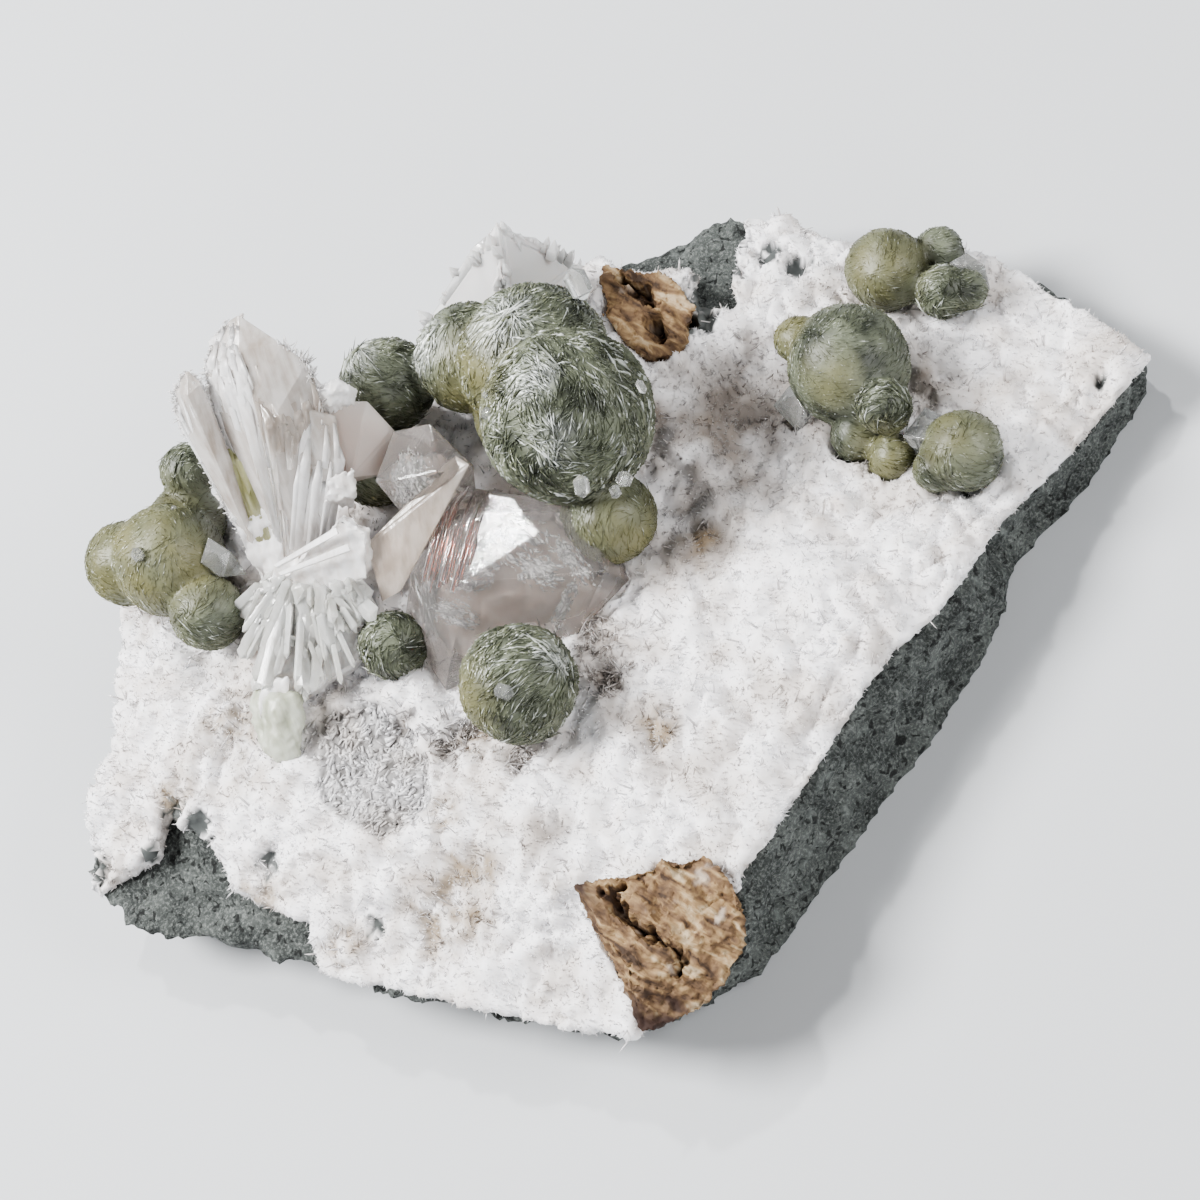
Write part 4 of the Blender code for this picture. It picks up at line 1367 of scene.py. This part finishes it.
# %% [markdown]
# ## Pointed, pink and small clear crystals
#
# The pale pyramid behind the big ball carries smaller crystals along its edges, which
# give it a saw-toothed outline, and low lines on its two front faces. The pink one beside
# the fan is milky and smooth. The small clear ones on the right group sit between the
# balls. All are hulls of measured corners with growth steps, because flat faces that meet
# at true edges are what the eye reads as crystal.

# %% Crystal tables
PYRAMID_CORNERS = [
    (17.9, 34.4, 33), (4, 37.9, 23), (12, 29, 25), (22.5, 31.5, 22), (22, 36, 16.5),
    (15, 38.5, 15.6), (3.5, 38, 16), (9, 30, 16.2), (20, 29, 16),
]
PINK_CORNERS = [
    (-9.4, 31.5, 32.4), (-5.6, 27.7, 32.3), (-5.4, 25.5, 28), (-8, 24.5, 23), (-12.4, 25.6, 26.5),
    (-13.4, 29.6, 28), (-12.5, 28, 21.5), (-9.4, 28.5, 20.5),
]
SMALL_CLEAR = {
    "clear_crystal_right_west": [
        (28.6, 5.2, 13.6), (30.4, 0.5, 14.6), (28.8, 1.2, 11.8), (31.8, 4.8, 15.4), (33, 2.4, 12.2),
        (30, 5.5, 11.9),
    ],
    "clear_crystal_right_south": [
        (36.2, -10.3, 16.2), (40.2, -9.2, 16), (41.8, -11, 13), (38, -13.5, 17), (36.3, -11.5, 12),
        (39.4, -8.8, 11.6),
    ],
    "clear_crystal_right_north": [
        (53.6, 4.2, 14.4), (56, 4.4, 13.4), (56.6, 2.2, 12.4), (54.3, 4.8, 10.2), (57, 4.6, 9.4),
        (55.6, 1, 9.6),
    ],
    "glassy_crystal_left": [
        (-31.9, 31.6, 24.6), (-29.4, 32.8, 25.6), (-28.5, 30.3, 24.2), (-31, 29.4, 22.6),
        (-29, 29.6, 20), (-32, 32, 20.5), (-29, 33, 20),
    ],
}
# The pyramid's edges, from its foot to its tip, and along its foot.
PYRAMID_BACK = [(9.0, 38.3, 19.5), (17.4, 35.0, 31.0)]
PYRAMID_BACK_EAST = [(19.0, 37.2, 17.5), (18.0, 34.8, 31.5)]
PYRAMID_FOOT = [(4.0, 38.0, 19.0), (12.0, 38.4, 17.5), (21.0, 36.5, 18.0)]
PYRAMID_WEST = [(4, 37.9, 23), (17.4, 34.5, 32.6)]
PYRAMID_FRONT = [(12, 29, 25), (17.9, 34.2, 32.8)]
PYRAMID_EAST = [(22.5, 31.5, 22), (18.2, 34.3, 32.6)]
PYRAMID_EDGES = [
    PYRAMID_WEST, PYRAMID_FRONT, PYRAMID_EAST, PYRAMID_BACK, PYRAMID_BACK_EAST, PYRAMID_FOOT,
]
PYRAMID_MIDDLE = (14, 33, 20)
print("single small crystals:", ", ".join(SMALL_CLEAR))


# %% Teeth along edges
def tooth(place, normal, size):
    """A small four-sided pointed crystal that stands away from the big one and up."""
    way = Vector(normal) * 0.7 + Vector((0.1, 0.0, 0.7)) + Vector(rng.normal(size=3) * 0.2)
    length = size * rng.uniform(0.6, 1.5)
    spot = Vector(place) - Vector(SHIFT)
    first = way.orthogonal().normalized()
    way.normalize()
    second = way.cross(first)
    corners = [spot + way * length * 0.72]
    for k in range(4):
        turn = math.pi / 4 + k * math.pi / 2
        out = (first * math.cos(turn) + second * math.sin(turn)) * length * 0.34
        corners += [spot + out, spot + out - way * length * 0.5]
    return grown(corners, 0.08, steps=0)


def teeth_on(rails, middle, count, size):
    """Teeth along edges, pointing away from the middle of the big crystal."""
    places = np.concatenate([along(rail, rng.random(count // len(rails))) for rail in rails])
    places += rng.normal(size=places.shape) * 0.45
    normals = unit(places - np.array(middle) - SHIFT)
    return [tooth(place, normal, size) for place, normal in zip(places, normals)]


print("teeth stand along", len(PYRAMID_EDGES), "edges")

# %% Crystal pieces
PYRAMID_TEETH, TOOTH_MM = 96, 1.5


def of_pyramid(name, meshes, smooth_angle=None):
    piece(name, joined(meshes, name), "pyramid_crystals", [pyramid_white],
          smooth_angle)


of_pyramid("pyramid_crystal", [grown(PYRAMID_CORNERS, 0.18, steps=2, step_mm=0.2)], 20)
face_lines = [
    sheaf(left, right, count, ends=(0.4, 0.96), starts=(0.0, 0.6), width=(0.8, 2.2), height=0.05)
    for left, right, count in ((PYRAMID_WEST, PYRAMID_FRONT, 16), (PYRAMID_FRONT, PYRAMID_EAST, 12))
]
of_pyramid("pyramid_lines", [mesh_from("lines", *part) for part in face_lines])
of_pyramid("pyramid_teeth", teeth_on(PYRAMID_EDGES, PYRAMID_MIDDLE, PYRAMID_TEETH, TOOTH_MM), 20)
piece("pink_crystal_body", grown(PINK_CORNERS, 0.35), "pink_crystal",
      [pink_milky], 20)
for node, corners in SMALL_CLEAR.items():
    piece(node + "_body", grown(corners, 0.18), node, [clear_small], 20)

# %% [markdown]
# ## The bladed fan
#
# The fan is a sheaf of long thin blades that spreads both ways from one root, like a bow
# tie. Each tall blade is a flat-faced facet, lined with many parallel laths that end at
# different heights, which gives the fine lines and the stepped edge. A body from the
# imported model fills the inside and shows only at the root. The pearly look comes from
# streaks: noise that is drawn out along the blades, in the height and in the colour, where
# the bright streaks are partly the blades' own tone and partly a painted sheen.

# %% Fan materials
BLADE_WAY = Vector((0.38, 0.58, 0.72))
STREAK_MM, STREAK_LENGTH, CLOUDY_BLADE_MM = 0.9, 9.0, 3.5


def streaked_tone_and_sheen(name, dark, bright, clearness, glow, roughness):
    """Blades streaked along their length between a darker and a brighter tone; the bright streaks
    are partly a painted sheen.
    """
    made, tree, shader = new_material(
        name, Roughness=roughness, IOR=1.52, Transmission_Weight=clearness,
        Subsurface_Weight=glow, Subsurface_Radius=(1.0, 0.92, 0.85), Subsurface_Scale=2.0 * MM,
    )
    place = add(tree, "ShaderNodeTexCoord").outputs["Object"]
    turn = Vector((0, 0, 1)).rotation_difference(BLADE_WAY).to_euler()
    drawn = add(tree, "ShaderNodeMapping", {"vector_type": "TEXTURE", "Rotation": turn,
                                            "Scale": (1, 1, STREAK_LENGTH)}, Vector=place)
    streaks = add(tree, "ShaderNodeTexNoise", {"Scale": 1 / (STREAK_MM * MM), "Detail": 5.0},
                  Vector=drawn)
    cloudy = add(tree, "ShaderNodeTexNoise", {"Scale": 1 / (CLOUDY_BLADE_MM * MM), "Detail": 5.0},
                 Vector=place)
    both = add(tree, "ShaderNodeMix", {"data_type": "FLOAT", "Factor": 0.5}, A=streaks, B=cloudy)
    # the bright streaks in the colour are partly a painted sheen
    shade = add(tree, "ShaderNodeValToRGB", {"stops": [(0.38, dark), (0.56, bright)]}, Fac=both)
    bump = add(tree, "ShaderNodeBump", {"Strength": 0.5, "Distance": 0.2 * MM}, Height=streaks)
    feed(shader, Base_Color=shade, Normal=bump)
    return made


fan_white = streaked_tone_and_sheen("pearly_white_blades", "e2dcd7", "fbf9f8", 0.10, 0.35, 0.36)
fan_clear = streaked_tone_and_sheen("translucent_blades", "c6bbb0", "f1ebe6", 0.45, 0.3, 0.18)
fan_beige = streaked_tone_and_sheen("clear_beige_blades", "bdb0a4", "ddd3c9", 0.5, 0.3, 0.2)
fan_glassy = streaked_tone_and_sheen("glassy_white_blades", "e2e0d9", "f8f8f5", 0.5, 0.25, 0.12)
fan_yellow = streaked_tone_and_sheen("yellow_green_blade", "a19f5f", "cfcd98", 0.15, 0.3, 0.28)
fan_fin_beige = streaked_tone_and_sheen("clear_beige_fin", "cbbdb0", "e6dcd2", 0.65, 0.2, 0.14)
fan_green = streaked_tone_and_sheen("greenish_white_blade", "b4b8a2", "dcdfd0", 0.3, 0.35, 0.34)
print("seven tones of blade, streaks", STREAK_MM, "mm wide")

# %% Fan rails
MAIN_LEFT = [
    (-24.6, 29.7, 21), (-21.1, 32.1, 29), (-19.9, 34.9, 33), (-18.8, 36.8, 38), (-17.2, 38.5, 41),
    (-14.3, 39.1, 43), (-11.5, 39.2, 44.0),
]
MAIN_RIDGE = [
    (-24.3, 26.2, 22), (-19.0, 28.2, 31.5), (-15.9, 29.8, 37), (-14.7, 31.8, 40),
    (-12.6, 35.5, 43.4), (-10.2, 38.6, 44.4),
]
MAIN_RIGHT = [
    (-21.9, 23.7, 22), (-11.9, 27.6, 32), (-9.3, 29.5, 36), (-7.8, 30.9, 40.0), (-8.6, 33.2, 42.4),
]
NARROW_LEFT = [
    (-27, 30.2, 20), (-25.5, 33.5, 27), (-24, 35.3, 32), (-23.3, 37, 35), (-22.7, 38.2, 38.5),
    (-21.1, 39.1, 41), (-18.8, 39.4, 41.8),
]
NARROW_MID = [
    (-27.2, 27.9, 20.8), (-24.2, 31.5, 28.6), (-22.7, 33.8, 33.8), (-21.5, 35.7, 37.3),
    (-20.1, 36.9, 41.6), (-18.5, 39.0, 42.3),
]
NARROW_RIGHT = [
    (-27.5, 26.7, 20), (-24.8, 29.4, 23.5), (-23.9, 31.9, 27), (-21, 34.7, 34), (-19.7, 36.2, 37),
    (-18.1, 37.5, 41), (-18.4, 39.2, 42),
]
YELLOW_LEFT = [(-24, 30.5, 22.5), (-22.1, 33.3, 26.5), (-20.8, 35.4, 30.5), (-20, 36.3, 32.5)]
YELLOW_RIGHT = [(-23.1, 30, 22.5), (-21.1, 32.6, 26.5), (-19.7, 34.8, 30.5), (-19.7, 36, 32.5)]
PINKISH_LEFT = [(-23.8, 24.9, 23), (-16.1, 27.4, 31.8), (-11.0, 29.3, 36)]
PINKISH_RIGHT = [(-19.2, 22.9, 23), (-12.3, 25, 29.6), (-9.2, 27.6, 34)]
# Corners behind the facets, which close their hulls.
BACK_OF_MAIN = [(-17.0, 33.0, 33), (-13.0, 36.0, 38), (-22.0, 28.0, 24)]
BACK_OF_NARROW = [(-22.4, 35.0, 33), (-26.0, 29.6, 22)]
FRONT_OF_PINKISH = [(-18, 24, 25), (-12, 28, 31)]
print("rails: two for each strip of blades, the main ridge shared")

# %% [markdown]
# ### The body and the tall blades
#
# The tall blades are hulls of their rails, so they are solid from behind as well. Thin
# laths lie on their front faces and end at different heights. The yellow-green blade stands
# between the two tall ones and is lifted out of the body, so that its colour shows.

# %% Fan body
BODY_FACE_MM, BODY_SINK_MM, HIGH_SINK_MM, TONGUE_SINK_MM = 0.36, 0.55, 0.35, 0.9


def of_fan(name, meshes, material, smooth_angle=None):
    piece(name, joined(meshes, name), "bladed_fan", [material], smooth_angle)


# The body lies a little below the facets, and deeper where the tongue will cover it.
fan_mesh = reskinned(packed("bladed_fan"), BODY_FACE_MM, smoothing=3)
points, normals = corners_of(fan_mesh)
sink = BODY_SINK_MM + HIGH_SINK_MM * np.clip((points[:, 2] - 24) / 4, 0, 1)
sink += TONGUE_SINK_MM * np.clip((13.0 - points[:, 1]) / 3, 0, 1) * (points[:, 0] < -30)
rugged_root = 0.5 * bumps(points, 2.2, 31) + 0.28 * (0.3 - np.abs(bumps(points, 0.8, 32)))
move_corners(fan_mesh, points + normals * (rugged_root - sink)[:, None])
of_fan("fan_body", [fan_mesh], fan_white, 60)

# %% Fan facets and blades
of_fan("fan_facets", [
    grown(MAIN_LEFT + MAIN_RIDGE + MAIN_RIGHT + BACK_OF_MAIN, 0.12, steps=0),
    grown(NARROW_LEFT + NARROW_MID + NARROW_RIGHT + BACK_OF_NARROW, 0.10, steps=0),
    grown(PINKISH_LEFT + PINKISH_RIGHT + FRONT_OF_PINKISH, 0.15),
], fan_clear, 20)
# For each piece: its finish, and its sheaves as left rail, right rail, count, share of the
# rails where laths end, share where they start, their widths, thickness and lift in mm.
BLADES = {
    "fan_blades_white": (fan_white, [
        (MAIN_LEFT, MAIN_RIDGE, 46, (0.75, 0.99), (0, 0.45), (0.7, 1.7), 0.06, 0.14),
        (NARROW_LEFT, NARROW_MID, 12, (0.8, 0.98), (0, 0.12), (0.3, 0.8), 0.06, 0.14),
        (NARROW_MID, NARROW_RIGHT, 10, (0.8, 0.98), (0, 0.12), (0.3, 0.8), 0.06, 0.14),
        (PINKISH_LEFT, PINKISH_RIGHT, 16, (0.5, 0.95), (0, 0.12), (0.6, 1.4), 0.10, 0.1),
    ]),
    "fan_blades_beige": (fan_beige, [
        (MAIN_RIDGE, MAIN_RIGHT, 36, (0.6, 0.84), (0, 0.3), (0.7, 1.7), 0.05, 0.20),
    ]),
    "fan_blade_yellow": (fan_yellow, [
        (YELLOW_LEFT, YELLOW_RIGHT, 11, (0.8, 1.0), (0, 0.12), (1.1, 1.9), 0.5, 2.3),
    ]),
}
for name, (material, sheaves) in BLADES.items():
    of_fan(name, [mesh_from("part", *sheaf(*row)) for row in sheaves], material)

# %% [markdown]
# ### The lower half of the fan
#
# The lower half is a jumble of short, thick, glassy blades. They all start near the root
# and end on the lower outline, so each one is a small hull from a place near the root to
# a place near the outline, turned at random about its own length. A greenish tongue hangs
# below them.

# %% Lower tables
LOWER_TIPS = [
    (-31.2, 26.6, 19.8), (-33.4, 24.6, 19.8), (-35.1, 21.9, 19.8), (-36.0, 18.3, 19.8),
    (-35.4, 14.7, 20.2), (-33.4, 11.8, 20.6), (-31.4, 10.2, 20.6), (-28.9, 9.8, 20.2),
    (-26.3, 10.0, 20.2), (-23.6, 10.9, 20.6), (-21.0, 12.0, 21.2), (-19.0, 13.2, 22.2),
]
ROOT_LINE = [(-27.0, 25.5, 22.6), (-25.1, 22.4, 23.6), (-23.0, 18.3, 24.0), (-20.0, 16.0, 24.4)]
TONGUE = [
    (-36.0, 16.8, 19.5), (-37.8, 15.5, 19), (-39.2, 11.6, 17.8), (-38.9, 9.0, 17), (-36.8, 7.8, 17),
    (-33.7, 10.1, 18.6), (-32.1, 12.0, 19.8), (-34.4, 12.6, 21), (-37.0, 9.7, 19.0),
    (-35, 13, 15.5),
]
print("lower outline:", len(LOWER_TIPS), "points")

# %% Lower blades
LOWER_SHARDS, SHARD_WIDE_MM, SHARD_THICK_MM = 130, (0.3, 1.15), (0.2, 0.5)


def on_line(line, share):
    """The point of a line of points at an even share of their count."""
    line = np.array(line)
    return np.array([np.interp(share, np.linspace(0, 1, len(line)), line[:, k]) for k in range(3)])


def lower_shard():
    """A glassy blade between the root line and the lower outline."""
    t = rng.random()
    tip, root = on_line(LOWER_TIPS, t), on_line(ROOT_LINE, t)
    shares = sorted(rng.random(2) * [0.6, 1.0] + [0.0, 0.05])
    root, tip = (root + (tip - root) * share for share in shares)
    root, tip = root + rng.normal(size=3) * 0.3, tip + rng.normal(size=3) * 0.5
    way = unit(tip - root)
    wild = unit(np.array([0.0, -0.5, 0.85]) + 0.7 * rng.normal(size=3))
    side = unit(np.cross(way, wild))
    top = np.cross(side, way)
    wide, thick = rng.uniform(*SHARD_WIDE_MM), rng.uniform(*SHARD_THICK_MM)
    corners = [root - way * 0.6, tip + side * wide * 0.2, tip - side * wide * 0.5 - way * 0.4]
    for a, b in ((1, 0), (-1, 0), (0, 1), (0.4, -1)):
        out = side * wide * a + top * thick * b
        corners += [root + out, tip - way * 0.7 + out]
    return grown([tuple(c) for c in corners], 0.06, steps=0)


of_fan("fan_lower_blades", [lower_shard() for _ in range(LOWER_SHARDS)], fan_glassy, 20)

# %% Tongue
tongue = soft_hull(TONGUE, 0.3, 4)
points, normals = corners_of(tongue)
swollen = 0.35 + 0.4 * bumps(points, 2.2, 33) + 0.18 * bumps(points, 0.7, 34)
move_corners(tongue, points + normals * swollen[:, None])
of_fan("fan_tongue", [tongue], fan_green, 180)

# %% [markdown]
# ### Slats, chunks, fin and frost
#
# Two bright flat slats cross the root. A white chunk and a triangular block sit at the
# fan's right side, and a thin beige fin leans over the clear block. The outlines of both
# tall blades carry a frost of tiny spikes. The chunks are broken and look like sugar, so
# they are remeshed and roughened. The slats and the fin have true faces and stay hulls.

# %% Fan detail tables
SLATS = [
    [
        (-25.6, 24.9, 24.3), (-25.3, 24.1, 24.6), (-17.1, 20.1, 28.5), (-17.4, 19.3, 28.3),
        (-25.4, 24.4, 23.8), (-17.2, 19.6, 27.8),
    ],
    [
        (-25.6, 23.6, 24.4), (-25.5, 22.9, 24.5), (-17.2, 17.6, 28.1), (-17.5, 16.9, 27.8),
        (-25.4, 23.2, 23.9), (-17.4, 17.1, 27.2),
    ],
]
CHUNKS = [
    [
        (-10.1, 29.9, 35.6), (-7.9, 29.9, 37.2), (-6.3, 28.9, 37.0), (-5.1, 27.3, 34.8),
        (-6.4, 27.3, 33.0), (-9.9, 28.6, 33.4), (-7.6, 28.2, 36.6),
    ],
    [
        (-11.4, 24.0, 29.6), (-14.3, 25.2, 30.0), (-16.9, 24.5, 27.3), (-14.5, 23.2, 27.2),
        (-12.9, 22.4, 27.8), (-14.5, 23.4, 24.5),
    ],
]
FIN = [
    (-15.8, 18.8, 24.2), (-18.6, 13.6, 21.2), (-16.3, 12.5, 22.0), (-7.9, 13.8, 26.2),
    (-1.4, 14.1, 29.6), (-2.0, 16.2, 29.6), (-14.0, 15.5, 22.6), (-5.0, 15.0, 26.6),
]
print(len(SLATS), "slats,", len(CHUNKS), "chunks and a fin")

# %% Slats, fin and chunks
CHUNK_FACE_MM = 0.24


def rugged(corners):
    """A broken chunk: a hull with a rough, sugary surface."""
    mesh = soft_hull(corners, CHUNK_FACE_MM, 1)
    points, normals = corners_of(mesh)
    rough = 0.28 * bumps(points, 1.1, 35) + 0.14 * bumps(points, 0.45, 36)
    move_corners(mesh, points + normals * rough[:, None])
    return mesh


of_fan("fan_slats", [grown(c, 0.06, steps=0) for c in SLATS], fan_white, 20)
of_fan("fan_fin", [grown(FIN, 0.10)], fan_fin_beige, 20)
of_fan("fan_chunks", [rugged(c) for c in CHUNKS], fan_white, 35)

# %% Frost on the outlines
LEFTWARD, RIGHTWARD, TO_TOP_RIGHT = (-0.75, 0.45, 0.2), (0.7, -0.3, 0.3), (0.6, 0.3, 0.7)
SPIKE_WIDTH_MM = (0.14, 0.3)


def frosting(rail, count, outwards, size):
    """Tiny spikes along a rail, pointing outwards."""
    places = along(rail, rng.random(count)) + rng.normal(size=(count, 3)) * 0.2
    way = unit(np.array(outwards) + 0.55 * rng.normal(size=(count, 3)))
    lengths = size * rng.uniform(0.5, 1.4, count)
    return prisms(places - way * 0.2, way, lengths, rng.uniform(*SPIKE_WIDTH_MM, count))


frost = [
    frosting(NARROW_LEFT, 500, LEFTWARD, 0.6),
    frosting(NARROW_RIGHT, 375, RIGHTWARD, 0.45),
    frosting(MAIN_LEFT, 500, LEFTWARD, 0.45),
    frosting(MAIN_RIGHT[1:], 125, TO_TOP_RIGHT, 1.3),
]
of_fan("fan_frost", [mesh_from("frost", *part) for part in frost], fan_white)

# %% [markdown]
# ## Brown casts
#
# Two lumps of brown, earthy, layered clay mark places where a crystal once stood and
# weathered out. They are folded and flaky. The front one is cut by one long fissure and
# the back one by two short ones. The imported block is remeshed, folded along its length,
# terraced in thin steps and cut along lines drawn on its top. Its colour follows layers
# that are stretched the same way. Its cracks, the valleys of its folds and its rim, more
# on the left, are darkened with painted shade.

# %% Cast material
LAYER_MM, LAYER_TURN, LAYER_STRETCH = 1.1, 0.35, 4
LAYER_BROWNS = [(0.34, "3d2c1e"), (0.46, "6c543c"), (0.57, "8f7655"), (0.70, "b5a387")]
cast_clay, tree, shader = new_material("brown_weathered_cast", Roughness=0.78)
place = add(tree, "ShaderNodeTexCoord").outputs["Object"]
drawn = add(tree, "ShaderNodeMapping",
            {"vector_type": "TEXTURE", "Rotation": (0.0, 0.0, LAYER_TURN),
             "Scale": (1, LAYER_STRETCH, 1)}, Vector=place)
layers = add(tree, "ShaderNodeTexNoise",
             {"Scale": 1 / (LAYER_MM * MM), "Detail": 7.0, "Distortion": 0.7}, Vector=drawn)
brown = add(tree, "ShaderNodeValToRGB", {"stops": LAYER_BROWNS}, Fac=layers)
bump = add(tree, "ShaderNodeBump", {"Strength": 0.8, "Distance": 0.3 * MM}, Height=layers)
# The crack coat is painted shade in the cracks, the valleys of the folds and at the rim; the rim
# coat lies in pale random patches.
feed(shader, Base_Color=painted(tree, brown, crack="2a150c", rim="cfc4ba"), Normal=bump)
print("clay layers", LAYER_MM, "mm thick, drawn out", LAYER_STRETCH, "times")

# %% [markdown]
# ### The cracks and folds of the casts
#
# A crack is a line on the top, and every corner near it sinks. Its sides wander by noise,
# because dried clay never splits along a ruler. Folds and terraces use noise that is read
# at stretched and bent points, which draws it out into layers.

# %% Cracks
# Lines on the tops of the casts: x and y in mm.
FRONT_CRACKS = [
    [
        (-17.1, -30.7), (-18.8, -30.9), (-19.0, -33.8), (-18.3, -36.0), (-17.6, -37.9),
        (-16.9, -40.2), (-18.5, -41.5),
    ],
]
BACK_CRACKS = [[(25.5, 30.0), (26.4, 27.5), (26.0, 25.2)], [(25.2, 22.8), (24.6, 21.2)]]


def crack_share(points, cracks, width):
    """1 in the middle of a crack, 0 at its sides, which wander."""
    share = np.zeros(len(points))
    flat = points[:, :2] - SHIFT[:2] + drift(points, 1.3, (47, 48), 0.9)
    width = np.maximum(width * (1 + 0.9 * bumps(points, 2.0, 49)), 0.1)
    for line in cracks:
        for a, b in zip(np.array(line[:-1], dtype=float), np.array(line[1:], dtype=float)):
            t = np.clip(((flat - a) @ (b - a)) / ((b - a) @ (b - a)), 0, 1)[:, None]
            share = np.maximum(share, 1 - np.linalg.norm(flat - (a + t * (b - a)), axis=1) / width)
    return np.clip(share + 0.35 * bumps(points, 0.9, 41) * (share > 0), 0, 1)


print("cracks:", len(FRONT_CRACKS), "in front,", len(BACK_CRACKS), "behind")

# %% Casts
CAST_FACE_MM, TERRACES, TERRACE_MM = 0.26, 6, 0.9


def shaded_rim(points):
    """Painted shade at the rim of a cast: 1 at the rim, more on its left, and 0 towards its middle.
    """
    flat = points[:, :2] - points[:, :2].mean(axis=0)
    reach = np.linalg.norm(flat, axis=1)
    outside = np.clip((reach / np.percentile(reach, 97) - 0.62) * 2.2, 0, 1)
    return outside * np.clip(0.6 - unit(flat)[:, 0] * 0.6, 0, 1)


def flaky(node, cracks, width, depth):
    """A cast that is folded, terraced and cut by its cracks."""
    mesh = reskinned(packed(node), CAST_FACE_MM)
    points, normals = corners_of(mesh)
    bent = points.copy()
    bent[:, :2] += drift(points, 4.0, (52, 53), 1.5)
    folded = np.abs(bumps(bent * [1.6, 0.45, 1.0], 3.0, 42))
    ridged = 0.35 - folded * 1.3 + 0.5 * (0.3 - np.abs(bumps(points, 1.0, 43)))
    terrace = np.round(bumps(bent * [1.3, 0.5, 0.4], 3.6, 44) * TERRACES) / TERRACES * TERRACE_MM
    crack = crack_share(points, cracks, width) * np.clip(normals[:, 2], 0, 1)
    crumbly = 0.3 * bumps(points, 0.5, 45) - 0.1
    points = points + normals * (0.4 * ridged + terrace + crumbly)[:, None]
    points[:, 2] -= depth * crack
    move_corners(mesh, points)
    # painted shade: dark in the cracks, in the valleys of the folds and at the shaded rim
    dark = crack * 1.5 - 0.2 + 1.1 * (folded - 0.45) + 1.6 * shaded_rim(points)
    give(mesh, crack=np.clip(dark, 0, 0.95),
         rim=np.clip(bumps(points, 2.0, 46) * 1.8 - 0.95, 0, 0.45))
    return mesh


front = flaky("brown_cast_front", FRONT_CRACKS, 0.6, 2.4)
back = flaky("brown_cast_back", BACK_CRACKS, 1.0, 3.0)
piece("front_cast", front, "brown_cast_front", [cast_clay], 50)
piece("back_cast", back, "brown_cast_back", [cast_clay], 50)

# %% [markdown]
# ## The triangles in all
#
# The last cell adds up and prints the triangles of all finished pieces.

# %% Triangles
print("triangles in all:", sum(total_triangles.values()))
